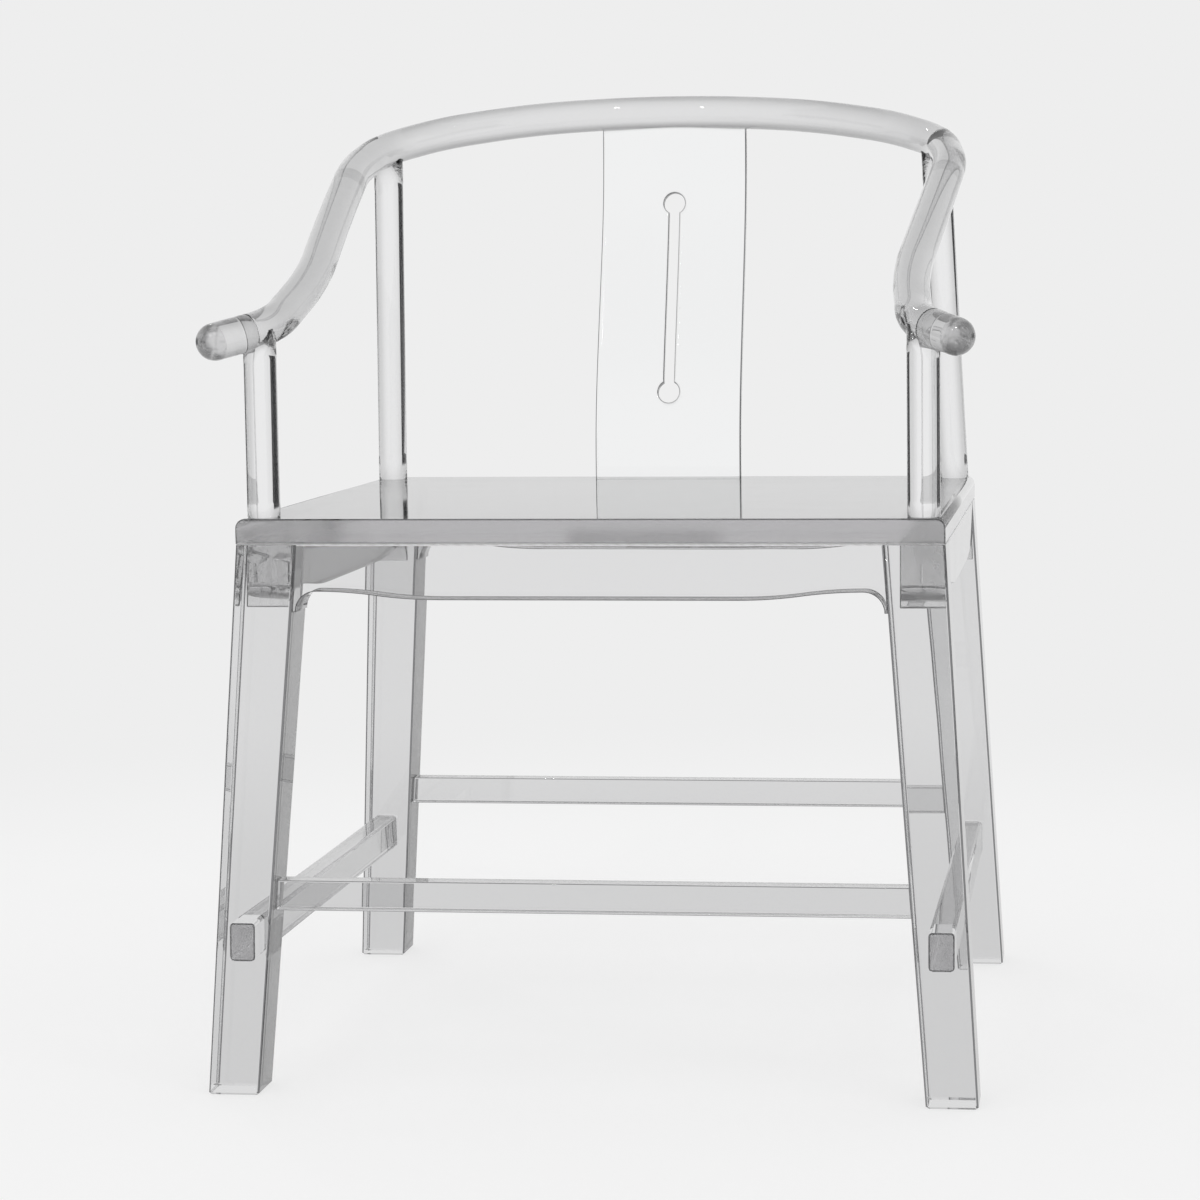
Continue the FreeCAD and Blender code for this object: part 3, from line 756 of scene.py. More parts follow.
def draw_film(make, tint, roughness, size, detail, share, least):
    """Cement on a face: nearly invisible in a narrow joint, an even grey haze on an apron's wide end."""
    make.plastic(
        {
            "Base Color": opaque(getattr(chair().finish, tint)),
            "Roughness": roughness,
            "Specular IOR Level": 0.0,
            "Alpha": make.noise(make.place(), size, detail) * share + least,
        }
    )


# The rail's path


def rail_corners():
    """The right half's corners, from the crest's to the tip of the grip."""
    rail = chair().rail
    front, back = front_post_y(), crest_y()
    low, high = rail.grip_height, rail.crest_height
    return [
        Vector((x * post_x(), front + y * (back - front), low + z * (high - low)))
        for x, y, z in RAIL_CORNER_SHARES
    ]


def mirrored(point):
    return Vector((-point.x, point.y, point.z))


def straight_point(corners, run, share):
    """A point on the straight stretch that a run keeps between its two bends."""
    start = corner_arc(*corners[run - 1 : run + 2])[2]
    end = corners[run + 1]
    if run + 2 < len(corners):
        end = corner_arc(*corners[run : run + 3])[1]
    return start.lerp(end, share)


def rail_line():
    """The whole rail's middle line from the left grip to the right, as close points."""
    right = rail_corners()
    corners = [mirrored(corner) for corner in reversed(right)] + right
    points = [corners[0]]
    for index in range(1, len(corners) - 1):
        centre, start, end = corner_arc(*corners[index - 1 : index + 2])
        length_round = (start - centre).length * (start - centre).angle(end - centre)
        points += arc_points(centre, start, end, max(2, round(length_round / RAIL_STEP)))
    points.append(corners[-1])
    line = np.array(points)
    keep = np.r_[True, np.linalg.norm(np.diff(line, axis=0), axis=1) > MERGE]
    line = line[keep]
    along = np.r_[0, np.cumsum(np.linalg.norm(np.diff(line, axis=0), axis=1))]
    even = np.linspace(0, along[-1], round(along[-1] / RAIL_STEP) + 1)
    line = np.stack([np.interp(even, along, line[:, axis]) for axis in range(3)], 1)
    ease = np.hanning(EASE_POINTS)
    ease /= ease.sum()
    reach = len(ease) // 2
    padded = np.concatenate([line[:1].repeat(reach, 0), line, line[-1:].repeat(reach, 0)])
    eased = np.stack([np.convolve(padded[:, axis], ease, "valid") for axis in range(3)], 1)
    eased[:reach], eased[-reach:] = line[:reach], line[-reach:]
    return eased


def nearest_index(line, point):
    """Which point of a line is nearest to a place."""
    return int(np.argmin(np.linalg.norm(line - np.array(point), axis=1)))


def rod_tree():
    """Geometry nodes that sweep a round section along a line, as thick as each point says."""
    name = "acrylic_rod"
    if name in bpy.data.node_groups:
        return bpy.data.node_groups[name]
    tree = bpy.data.node_groups.new(name, "GeometryNodeTree")
    for socket, kind in (("Geometry", "Geometry"), ("Radius", "Float"), ("Sides", "Int")):
        tree.interface.new_socket(socket, in_out="INPUT", socket_type=f"NodeSocket{kind}")
    tree.interface.new_socket("Geometry", in_out="OUTPUT", socket_type="NodeSocketGeometry")
    given = tree.nodes.new("NodeGroupInput")
    circle = tree.nodes.new("GeometryNodeCurvePrimitiveCircle")
    width = tree.nodes.new("GeometryNodeInputRadius")
    sweep = tree.nodes.new("GeometryNodeCurveToMesh")
    result = tree.nodes.new("NodeGroupOutput")
    sweep.inputs["Fill Caps"].default_value = True
    for source, output, target, socket in (
        (given, "Sides", circle, "Resolution"),
        (given, "Radius", circle, "Radius"),
        (given, "Geometry", sweep, "Curve"),
        (circle, "Curve", sweep, "Profile Curve"),
        (width, "Radius", sweep, "Scale"),
        (sweep, "Mesh", result, "Geometry"),
    ):
        tree.links.new(source.outputs[output], target.inputs[socket])
    return tree


def rod(points, shares):
    """A rod of the rail through points, each with its share of the radius. Its flat ends are cemented."""
    curve = bpy.data.curves.new("rod_line", "CURVE")
    curve.dimensions = "3D"
    spline = curve.splines.new("POLY")
    spline.points.add(len(points) - 1)
    spline.points.foreach_set("co", np.c_[np.array(points), np.ones(len(points))].ravel())
    spline.points.foreach_set("radius", np.array(shares, float))
    made = add_object("rod", curve)
    modifier = made.modifiers.new("Rod", "NODES")
    modifier.node_group = rod_tree()
    given = {"Radius": chair().rail.diameter / 2, "Sides": chair().rail.sides}
    for item in modifier.node_group.interface.items_tree:
        if item.in_out == "INPUT" and item.name in given:
            modifier[item.identifier] = given[item.name]
    mesh = plain_copy(made)
    fill_slots(mesh)
    tidy(mesh)
    for polygon in mesh.polygons:
        flat_end = len(polygon.vertices) > 4
        polygon.material_index = CEMENTED if flat_end else POLISHED
        polygon.use_smooth = not flat_end
    return mesh


def grooved(points):
    """Adds a fine chamfer to a rod's first end, so that its joint shows as a thin line."""
    groove = chair().rail.joint_groove
    points = [Vector(point) for point in points]
    points.insert(1, points[0].lerp(points[1], groove / (points[1] - points[0]).length))
    return points, [1 - groove / (chair().rail.diameter / 2)] + [1.0] * (len(points) - 1)


def distance_to_line(points, line):
    """How far each point is from the nearest place on a line of close points."""
    start, way = line[:-1], np.diff(line, axis=0)
    squared = np.sum(way * way, axis=1)
    offset = points[:, None, :] - start[None]
    share = np.clip(np.sum(offset * way[None], axis=2) / squared[None], 0, 1)
    return np.linalg.norm(offset - share[:, :, None] * way[None], axis=2).min(axis=1)


def reach_rail(starts, way, line, most):
    """Where lines from the given starts first come onto the rail's surface."""
    radius = chair().rail.diameter / 2
    starts, way = np.array(starts), np.array(way)
    low, high = np.zeros(len(starts)), np.full(len(starts), most)
    for _ in range(HALVINGS):
        middle = (low + high) / 2
        inside = distance_to_line(starts + way * middle[:, None], line) < radius
        high = np.where(inside, middle, high)
        low = np.where(inside, low, middle)
    return starts + way * high[:, None]


def post(foot, top, line):
    """A round post, cemented into the seat, whose top is shaped to the round of the rail."""
    rail, seat_top = chair().rail, chair().seat.height
    radius = rail.post_diameter / 2
    axis = (top - foot).normalized()
    across = Vector((1, 0, 0)).cross(axis).normalized()
    other = axis.cross(across)
    turns = [2 * pi * index / rail.sides for index in range(rail.sides)]
    spokes = [(across * cos(turn) + other * sin(turn)) * radius for turn in turns]

    def at_height(share, height):
        offsets = [spoke * share for spoke in spokes]
        return [foot + offset + axis * ((height - foot.z - offset.z) / axis.z) for offset in offsets]

    def at_rail(share, short=RAIL_GAP):
        most = POST_REACH * radius
        starts = [foot + spoke * share + axis * ((top - foot).length - most) for spoke in spokes]
        return [Vector(point) - axis * short for point in reach_rail(starts, axis, line, most)]

    neck = 1 - POST_ARRIS / radius
    bottoms, rims = at_height(1, seat_top + POST_ARRIS), at_rail(1, POST_ARRIS)
    rings = [at_height(neck, seat_top - rail.post_tenon), at_height(neck, seat_top), bottoms]
    for index in range(1, POST_STEPS):
        rings.append([low.lerp(high, index / POST_STEPS) for low, high in zip(bottoms, rims)])
    saddle = len(rings) + 1
    rings += [rims] + [at_rail(share) for share in (neck, 0.85, 0.7, 0.5, 0.3, 0.12)]
    shell = Shell()
    rings = [shell.ring(ring) for ring in rings]
    for number, (low, high) in enumerate(zip(rings, rings[1:])):
        shell.band(low, high, POLISHED if 0 < number < saddle else CEMENTED, True)
    shell.face(rings[0], CEMENTED)
    shell.face(rings[-1], CEMENTED, True)
    return shell.mesh("post")


def post_ends(line):
    """Each post's name, its foot on the seat and its top on the rail's middle line."""
    corners = rail_corners()
    bend = corners[BACK_POST_RUN].lerp(corners[BACK_POST_RUN + 1], 0.5)
    ends = {}
    for side in (LEFT, RIGHT):
        x, z = side * post_x(), chair().seat.height
        above = line[np.abs(line[:, 0] - x) < NEAR_POST]
        near = above[np.argmin(np.hypot(above[:, 0] - x, above[:, 1] - front_post_y()))]
        foot, top = Vector((x, front_post_y(), z)), Vector((x, front_post_y(), float(near[2])))
        ends[f"front_{SIDE_NAMES[side]}"] = foot, top
        foot, top = Vector((x, back_post_y(), z)), Vector((side * bend.x, bend.y, bend.z))
        ends[f"back_{SIDE_NAMES[side]}"] = foot, top
    return ends


# Operators


class AddSeat(Operator):
    """Adds the seat board, with its polished edges, the splat's groove and the posts' seats"""

    bl_idname = "armchair.add_seat"
    bl_label = "Seat"

    def execute(self, context):
        sizes = chair()
        seat = sizes.seat
        half, top, under = seat.width / 2, seat.height, leg_height()
        outline, smooth = rounded_outline(
            [(-half, under), (half, under), (half, top), (-half, top)],
            [seat.arris, seat.arris, seat.side_round, seat.side_round],
        )
        mesh = prism(outline, smooth, lambda u, v, w: (u, w, v), seat_front(), seat_back(), seat.arris)
        for polygon in mesh.polygons:
            if abs(polygon.normal.y) > 0.9:
                polygon.material_index = BOARD_EDGE
            # The lower arrises, front and back, get the pale ground face: a painted bright line under the
            # seat's edge
            elif polygon.normal.z < -0.5 and abs(polygon.normal.y) > 0.5:
                polygon.material_index = GROUND_HIGHLIGHT
        self.mark_supports(mesh, half, under)
        line = rail_line()
        posts = [post(*ends, line) for ends in post_ends(line).values()]
        mesh = cut_away(mesh, [splat_sheet(line, TENON_GAP), *posts])
        # The tenon's end is dry: the bottom of its groove shows as a bright line in the seat's edge
        floor = top - sizes.splat.tenon
        for polygon in mesh.polygons:
            if abs(polygon.normal.z) > 0.9 and abs(polygon.center.z - floor) < 0.001:
                polygon.material_index = POLISHED
        finish_piece("seat_panel", mesh, "board")
        return {"FINISHED"}

    def mark_supports(self, mesh, half, under):
        """The legs and aprons are cemented under the seat's edges."""
        sizes = chair()
        arris, thick, leg = sizes.seat.arris, sizes.apron.thickness, sizes.leg.top
        front, back = seat_front() + arris, seat_back() - arris
        left, right = -half + arris, half - arris
        down = (0, 0, -1)
        for low_y, high_y in ((front, seat_front() + thick), (seat_back() - thick, back)):
            cement_patch(mesh, down, (left, low_y, under), (right, high_y, under))
        for low_x, high_x in ((left, -half + thick), (half - thick, right)):
            cement_patch(mesh, down, (low_x, front, under), (high_x, back, under))
        for low_x, high_x in ((-half + thick, -half + leg), (half - leg, half - thick)):
            for low_y, high_y in (
                (seat_front() + thick, seat_front() + leg),
                (seat_back() - leg, seat_back() - thick),
            ):
                cement_patch(mesh, down, (low_x, low_y, under), (high_x, high_y, under))


def side_bar_mesh(side, gap=0.0):
    """A side stretcher, or with a gap the space that it leaves in the legs."""
    sizes = chair()
    bar = sizes.bar
    middle_z = bar.side_height + bar.side_tall / 2
    x = side * leg_middle(middle_z, True)
    section = rectangle(bar.side_thick / 2 + gap, bar.side_tall / 2 + gap)
    outline, smooth = rounded_outline(section, bar.side_round + gap, 5)
    back = seat_middle() + half_gap(middle_z, False) + bar.tenon + gap
    lean = sizes.leg.splay_depth / leg_height()

    def front(height):
        """Flush with the legs' front faces, or for the space a little ahead of them."""
        return seat_front() - lean * (leg_height() - height) - 20 * gap

    arris = 0.0 if gap else sizes.seat.arris
    rings = [
        [(x + u, front(middle_z + v) + arris, middle_z + v) for u, v in outline],
        [(x + u, back - arris, middle_z + v) for u, v in outline],
    ]
    shell = Shell()
    if gap:
        shell.loft(rings, [POLISHED], smooth)
    else:
        inner = inset_outline(outline, arris)
        rings.insert(0, [(x + u, front(middle_z + v), middle_z + v) for u, v in inner])
        rings.append([(x + u, back, middle_z + v) for u, v in inner])
        shell.loft(rings, (SHADED_ARRIS, POLISHED, SHADED_ARRIS), smooth, (BOARD_EDGE, POLISHED))
    return shell.mesh("side_bar")


def cross_bar_middle(end):
    """How far back and how high the middle of the front or back stretcher is."""
    bar = chair().bar
    middle = (bar.front_height if end == FRONT else bar.back_height) + bar.cross_tall / 2
    return seat_middle() + end * leg_middle(middle, False), middle


class AddLegs(Operator):
    """Adds the four tapered legs, with their mortises and their cemented patches"""

    bl_idname = "armchair.add_legs"
    bl_label = "Legs"

    def execute(self, context):
        for side in (LEFT, RIGHT):
            for end in (FRONT, BACK):
                mesh = self.leg_mesh(side, end)
                mesh = cut_away(mesh, [side_bar_mesh(side, chair().bar.gap)])
                finish_piece(f"{END_NAMES[end]}_{SIDE_NAMES[side]}_leg", mesh, "leg")
        return {"FINISHED"}

    def leg_mesh(self, side, end):
        leg, top = chair().leg, leg_height()
        sections = (0, FOOT_BEVEL), (FOOT_BEVEL, 0), (top - LEG_GROOVE, 0), (top, LEG_GROOVE)
        rings = []
        for height, shrink in sections:
            half = leg_size(height) / 2 - shrink
            edge_round = leg.edge_round * half / (leg.top / 2)
            outline, smooth = rounded_outline(rectangle(half, half), edge_round)
            x = side * leg_middle(height, True)
            y = seat_middle() + end * leg_middle(height, False)
            rings.append([(x + u, y + v, height) for u, v in outline])
        shell = Shell()
        shell.loft(rings, (POLISHED, arris_bands(smooth), POLISHED), smooth, (POLISHED, CEMENTED))
        mesh = shell.mesh("leg")
        self.mark_aprons(mesh, side, end)
        self.mark_cross_bar(mesh, side, end)
        return mesh

    def mark_aprons(self, mesh, side, end):
        """Two aprons are cemented to the leg's inner faces, flush with the seat's edges."""
        sizes = chair()
        thick, arris = sizes.apron.thickness, sizes.seat.arris
        low_z, high_z = leg_height() - sizes.apron.foot_depth, leg_height()
        edge_y = seat_middle() + end * sizes.seat.depth / 2
        edge_x = side * sizes.seat.width / 2
        ys = sorted((edge_y - end * arris, edge_y - end * (thick - arris)))
        xs = sorted((edge_x - side * arris, edge_x - side * (thick - arris)))
        cement_patch(mesh, (-side, 0, 0), (-1, ys[0], low_z), (1, ys[1], high_z), JOINED)
        cement_patch(mesh, (0, -end, 0), (xs[0], -1, low_z), (xs[1], 1, high_z), JOINED)

    def mark_cross_bar(self, mesh, side, end):
        bar, arris = chair().bar, chair().seat.arris
        y, z = cross_bar_middle(end)
        half_y, half_z = bar.cross_thick / 2 - arris, bar.cross_tall / 2 - arris
        cement_patch(mesh, (-side, 0, 0), (-1, y - half_y, z - half_z), (1, y + half_y, z + half_z))


class AddAprons(Operator):
    """Adds the four arched aprons under the seat"""

    bl_idname = "armchair.add_aprons"
    bl_label = "Aprons"

    def execute(self, context):
        seat, thick = chair().seat, chair().apron.thickness
        for end in (FRONT, BACK):
            y = seat_middle() + end * (seat.depth - thick) / 2
            self.add_apron(f"{END_NAMES[end]}_apron", True, lambda u, v, w, y=y: (u, y + w, v))
        for side in (LEFT, RIGHT):
            x = side * (seat.width - thick) / 2
            self.add_apron(
                f"{SIDE_NAMES[side]}_apron", False, lambda u, v, w, x=x: (x + w, seat_middle() + u, v)
            )
        return {"FINISHED"}

    def add_apron(self, node, across_width, place):
        apron, arris = chair().apron, chair().seat.arris
        right, kinds = self.half_outline(across_width)
        points = right + [(-u, v) for u, v in reversed(right[1:-1])]
        kinds = kinds + kinds[::-1]
        finishes = [CEMENTED if kind == "joint" else POLISHED for kind in kinds]
        smooth = [kind == "curve" for kind in kinds]
        half = apron.thickness / 2
        mesh = prism(points, smooth, place, -half, half, arris * 0.6, finishes)
        # Arrises facing up, against the seat, get the pale ground face: a painted bright line where apron
        # and seat meet
        for polygon in mesh.polygons:
            if polygon.material_index == SHADED_ARRIS and polygon.normal.z > 0.5:
                polygon.material_index = GROUND_HIGHLIGHT
        finish_piece(node, mesh, "block")

    def half_outline(self, across_width):
        """The right half, clockwise from the top's middle, and what each of its sides is."""
        apron, top = chair().apron, leg_height()
        foot_z = top - apron.foot_depth
        gap_top, gap_foot = half_gap(top, across_width), half_gap(foot_z, across_width)
        curve = apron.foot_depth - apron.end_depth
        drop = apron.middle_depth - apron.end_depth
        foot_inner = gap_foot - apron.foot_width
        wave_start = foot_inner - curve
        wave_end = wave_start - apron.wave
        radius = (apron.wave**2 + drop**2) / (4 * drop)
        points = [(0, top), (gap_top, top), (gap_foot, foot_z), (foot_inner, foot_z)]
        kinds = ["joint", "joint", "flat"]

        def bend(u, v, radius, start, end):
            for step in range(1, WAVE_STEPS + 1):
                angle = start + (end - start) * step / WAVE_STEPS
                points.append((u + radius * cos(angle), v + radius * sin(angle)))
                kinds.append("curve")

        high, low = foot_z + curve, foot_z + curve - drop
        turn = atan2(apron.wave / 2, radius - drop / 2)
        bend(wave_start, foot_z, curve, 0, pi / 2)
        bend(wave_start, high - radius, radius, pi / 2, pi / 2 + turn)
        bend(wave_end, low + radius, radius, turn - pi / 2, -pi / 2)
        points.append((0, low))
        kinds.append("flat")
        return points, kinds


class AddStretchers(Operator):
    """Adds the front, back and side stretchers"""

    bl_idname = "armchair.add_stretchers"
    bl_label = "Stretchers"

    def execute(self, context):
        for side in (LEFT, RIGHT):
            finish_piece(f"{SIDE_NAMES[side]}_stretcher", side_bar_mesh(side), "bar")
        for end in (FRONT, BACK):
            finish_piece(f"{END_NAMES[end]}_stretcher", self.cross_bar(end), "bar")
        return {"FINISHED"}

    def cross_bar(self, end):
        bar, arris = chair().bar, chair().seat.arris
        y, z = cross_bar_middle(end)
        section = rectangle(bar.cross_thick / 2, bar.cross_tall / 2)
        outline, smooth = rounded_outline(section, arris * 1.1, 3)
        inner = inset_outline(outline, arris)
        sections = (LEFT, 0, inner), (LEFT, arris, outline), (RIGHT, arris, outline), (RIGHT, 0, inner)
        rings = [
            [(side * (half_gap(z + v, True) - short), y + u, z + v) for u, v in section]
            for side, short, section in sections
        ]
        shell = Shell()
        shell.loft(rings, (SHADED_ARRIS, arris_bands(smooth), SHADED_ARRIS), smooth, (CEMENTED, CEMENTED))
        return shell.mesh("cross_bar")


def mark_posts(mesh, line):
    """The rail is cemented to the tops of the posts."""
    radius = chair().rail.post_diameter / 2
    for foot, top in post_ends(line).values():
        axis = (top - foot).normalized()
        for polygon in mesh.polygons:
            from_top = polygon.center - top
            rise = from_top.dot(axis)
            aside = (from_top - axis * rise).length
            if aside < radius and -2 * radius < rise < 0 and polygon.normal.dot(axis) < 0:
                polygon.material_index = CEMENTED


class AddPosts(Operator):
    """Adds the two front posts and the two leaning back posts"""

    bl_idname = "armchair.add_posts"
    bl_label = "Posts"

    def execute(self, context):
        line = rail_line()
        for name, ends in post_ends(line).items():
            finish_piece(f"{name}_post", post(*ends, line), "rod")
        return {"FINISHED"}


class AddRail(Operator):
    """Adds the horseshoe rail: the crest, two arms and two hand grips"""

    bl_idname = "armchair.add_rail"
    bl_label = "Rail"

    def execute(self, context):
        line, corners = rail_line(), rail_corners()
        arm_joint = straight_point(corners, ARM_JOINT_RUN, ARM_JOINT_SHARE)
        grip_joint = straight_point(corners, GRIP_JOINT_RUN, GRIP_JOINT_SHARE)
        places = mirrored(grip_joint), mirrored(arm_joint), arm_joint, grip_joint
        left_grip, left_arm, right_arm, right_grip = (nearest_index(line, place) for place in places)
        crest = line[left_arm : right_arm + 1]
        self.add_rod("crest_rail", crest, np.ones(len(crest)), line)
        for side, arm, tip in (
            (LEFT, line[left_grip : left_arm + 1], line[: left_grip + 1][::-1]),
            (RIGHT, line[right_arm : right_grip + 1][::-1], line[right_grip:]),
        ):
            self.add_rod(f"{SIDE_NAMES[side]}_arm_rail", *grooved(arm), line)
            finish_piece(f"{SIDE_NAMES[side]}_hand_grip", self.grip(tip), "rail")
        return {"FINISHED"}

    def add_rod(self, node, points, shares, line):
        mesh = rod(points, shares)
        mark_posts(mesh, line)
        finish_piece(node, mesh, "rail")

    def grip(self, line):
        """A short rod with a half-round end."""
        points, shares = grooved(line)
        way, tip = (points[-1] - points[-2]).normalized(), points[-1]
        for step in range(1, DOME_STEPS):
            angle = pi / 2 * step / DOME_STEPS
            points.append(tip + way * chair().rail.diameter / 2 * sin(angle))
            shares.append(cos(angle))
        mesh = rod(points, shares)
        for polygon in mesh.polygons:
            # The half-round end takes the dome finish, a darker grey that paints shade
            if (polygon.center - tip).dot(way) > 0:
                polygon.material_index = SHADED_DOME
                polygon.use_smooth = True
        return mesh


def splat_middle(height):
    """Where the splat's middle surface is at a height, and its slope there."""
    sizes = chair()
    splat = sizes.splat
    low = sizes.seat.height + splat.foot_straight
    high = sizes.rail.crest_height - splat.top_straight
    corner = splat.corner_share * (high - low)
    poles = np.array(
        [
            (splat_y(), sizes.seat.height - splat.tenon),
            (splat_y(), low),
            (splat_y(), low + corner),
            (crest_y(), high - corner),
            (crest_y(), high),
            (crest_y(), sizes.rail.crest_height),
        ]
    )
    knots = np.array([0, 0, 0, 0, 1 / 3, 2 / 3, 1, 1, 1, 1])
    spans = np.linspace(0, 1, 801)
    weights = np.zeros((len(spans), len(knots) - 1))
    for index in range(len(knots) - 1):
        weights[:, index] = (spans >= knots[index]) & (spans < knots[index + 1])
    weights[-1, 5] = 1
    for degree in range(1, 4):
        for index in range(len(knots) - 1 - degree):
            left_span = knots[index + degree] - knots[index]
            right_span = knots[index + degree + 1] - knots[index + 1]
            left = (spans - knots[index]) / left_span * weights[:, index] if left_span else 0
            rest = knots[index + degree + 1] - spans
            right = rest / right_span * weights[:, index + 1] if right_span else 0
            weights[:, index] = left + right
    curve = weights[:, :6] @ poles
    slope = np.gradient(curve[:, 0]) / np.maximum(np.gradient(curve[:, 1]), 1e-9)
    return np.interp(height, curve[:, 1], curve[:, 0]), np.interp(height, curve[:, 1], slope)


def keyhole_outline(grow=0.0):
    """The keyhole from the front: up its right side, round the upper hole, down, round the lower hole."""
    sizes = chair()
    splat = sizes.splat
    radius, half_slot = splat.keyhole_diameter / 2 + grow, splat.keyhole_slot / 2 + grow
    low = sizes.seat.height + splat.keyhole_rise
    high = sizes.rail.crest_height - splat.keyhole_drop
    rise = sqrt(radius**2 - half_slot**2)
    opening = atan2(half_slot, rise)
    points = []
    right_side, left_side = (1, low + rise, high - rise, high), (-1, high - rise, low + rise, low)
    for way, start, end, centre in (right_side, left_side):
        for step in range(SLOT_STEPS):
            points.append((way * half_slot, start + (end - start) * step / SLOT_STEPS))
        for step in range(2 * KEYHOLE_STEPS):
            angle = way * -pi / 2 + opening + (2 * pi - 2 * opening) * step / (2 * KEYHOLE_STEPS)
            points.append((radius * cos(angle), centre + radius * sin(angle)))
    return np.array(points)


def sheet_outline(half_width, seat_top, rim_heights, hole):
    """The sheet's outline between seat and rail, with one point for each point of the keyhole."""

    def upright(x, start, end, count):
        return [(x, height) for height in np.linspace(start, end, count, endpoint=False)]

    across = np.linspace(half_width, -half_width, KEYHOLE_STEPS + 1)
    rims = rim_heights(across)
    slot_low, slot_high = hole[0, 1], hole[SLOT_STEPS, 1]
    return np.array(
        [
            *((half_width, height) for height in hole[:SLOT_STEPS, 1]),
            *upright(half_width, slot_high, rims[0], CORNER_STEPS),
            *zip(across[:-1], rims[:-1]),
            *upright(-half_width, rims[-1], slot_high, CORNER_STEPS),
            *upright(-half_width, slot_high, slot_low, SLOT_STEPS),
            *upright(-half_width, slot_low, seat_top, CORNER_STEPS),
            *((x, seat_top) for x in across[:0:-1]),
            *upright(half_width, seat_top, slot_low, CORNER_STEPS),
        ]
    )


def splat_sheet(line, dry=0.0):
    """The bent splat with its keyhole. Its tenon goes deeper by the dry gap that its groove leaves."""
    sizes = chair()
    splat, rail = sizes.splat, sizes.rail
    half_width, half, seat_top = splat.width / 2, splat.thickness / 2, sizes.seat.height
    bottom = seat_top - splat.tenon - dry
    hole = keyhole_outline()
    shell = Shell()

    def place(points, offset):
        heights = points[:, 1]
        middle, slope = splat_middle(heights)
        lean = 1 / np.sqrt(1 + slope**2)
        return np.stack([points[:, 0], middle + offset * lean, heights - offset * lean * slope], 1)

    def rim_heights(across, offset):
        """Where upright lines on the sheet come to the rail."""
        most = SHEET_REACH * rail.diameter
        under = rail.crest_height - most
        heights = np.full(len(across), under)
        for _ in range(3):
            starts = place(np.stack([across, heights], 1), offset)
            starts[:, 2] = under
            reached = reach_rail(starts, (0, 0, 1), line, most)[:, 2]
            heights = heights + reached - place(np.stack([across, heights], 1), offset)[:, 2]
        return heights - RAIL_GAP

    def strip(first, second, finish=POLISHED):
        finishes = finish if isinstance(finish, list) else [finish] * (len(first) - 1)
        low, high = shell.ring(first), shell.ring(second)
        for index, kind in enumerate(finishes):
            shell.face((low[index], low[index + 1], high[index + 1], high[index]), kind, True)

    def layer(offset, reach):
        """A layer's outline, and its sides, its top under the rail, its row on the seat and its base."""
        outline = sheet_outline(reach, seat_top, lambda across: rim_heights(across, offset), hole)
        top_start = SLOT_STEPS + CORNER_STEPS
        foot_start = 2 * SLOT_STEPS + 5 * CORNER_STEPS
        foot = outline[foot_start : foot_start + KEYHOLE_STEPS + 1]
        base = np.stack([foot[:, 0], np.full(len(foot), bottom)], 1)
        rows = {
            "right": np.concatenate(
                [base[-1:], outline[foot_start + KEYHOLE_STEPS :], outline[: top_start + 1]]
            ),
            "left": np.concatenate([base[:1], outline[top_start + KEYHOLE_STEPS : foot_start + 1][::-1]]),
            "top": outline[top_start : top_start + KEYHOLE_STEPS + 1],
            "foot": foot,
            "base": base,
        }
        return outline, {name: place(row, offset) for name, row in rows.items()}

    layers = [
        layer(-half, half_width - SHEET_BEVEL),
        layer(-half + SHEET_BEVEL, half_width),
        layer(half - SHEET_BEVEL, half_width),
        layer(half, half_width - SHEET_BEVEL),
    ]
    inner = []
    edge = keyhole_outline(splat.rim_round)
    for side, (outline, rows) in ((-1, layers[0]), (1, layers[-1])):
        rings = []
        for step in range(RIM_STEPS + 1):
            angle = pi / 2 * step / RIM_STEPS
            points = keyhole_outline(splat.rim_round * (1 - cos(angle)))
            rings.append(shell.ring(place(points, side * (half - splat.rim_round * (1 - sin(angle))))))
        inner.append(rings[0])
        for step in range(1, FACE_STEPS + 1):
            share = (step / FACE_STEPS) ** 1.3
            rings.append(shell.ring(place(edge + (outline - edge) * share, side * half)))
        # The keyhole's first rounds take the arris finish: painted shade that outlines the hole
        for number, (low, high) in enumerate(zip(rings, rings[1:])):
            shell.band(low, high, SHADED_ARRIS if number < 3 else POLISHED, True)
        strip(rows["foot"], rows["base"], CEMENTED)
    shell.band(inner[0], inner[1], POLISHED, True)
    for (_, first), (_, second), kind in zip(layers, layers[1:], (SHADED_ARRIS, POLISHED, SHADED_ARRIS)):
        for side in ("right", "left"):
            strip(first[side], second[side], [CEMENTED] + [kind] * (len(first[side]) - 2))
        for row in ("top", "base"):
            strip(first[row], second[row])
    return shell.mesh("splat")


class AddSplat(Operator):
    """Adds the bent back splat with its keyhole"""

    bl_idname = "armchair.add_splat"
    bl_label = "Splat"

    def execute(self, context):
        finish_piece("back_splat", splat_sheet(rail_line()), "sheet")
        return {"FINISHED"}


def ray_kinds(make):
    """Whether a ray comes from the camera, and whether clear plastic turned it."""
    rays = make.node("ShaderNodeLightPath")
    turned = make.maths("MAXIMUM", rays.output("Is Glossy Ray"), rays.output("Is Transmission Ray"))
    return rays.output("Is Camera Ray"), turned


def dark_flags(make, x, y):
    """1 where dark boards stand, in front of and behind each side of the studio."""
    aside = make.maths("ARCTAN2", make.maths("ABSOLUTE", y), make.maths("ABSOLUTE", x))
    return make.step(aside, radians(11), radians(14)) * make.step(aside, radians(49), radians(47))


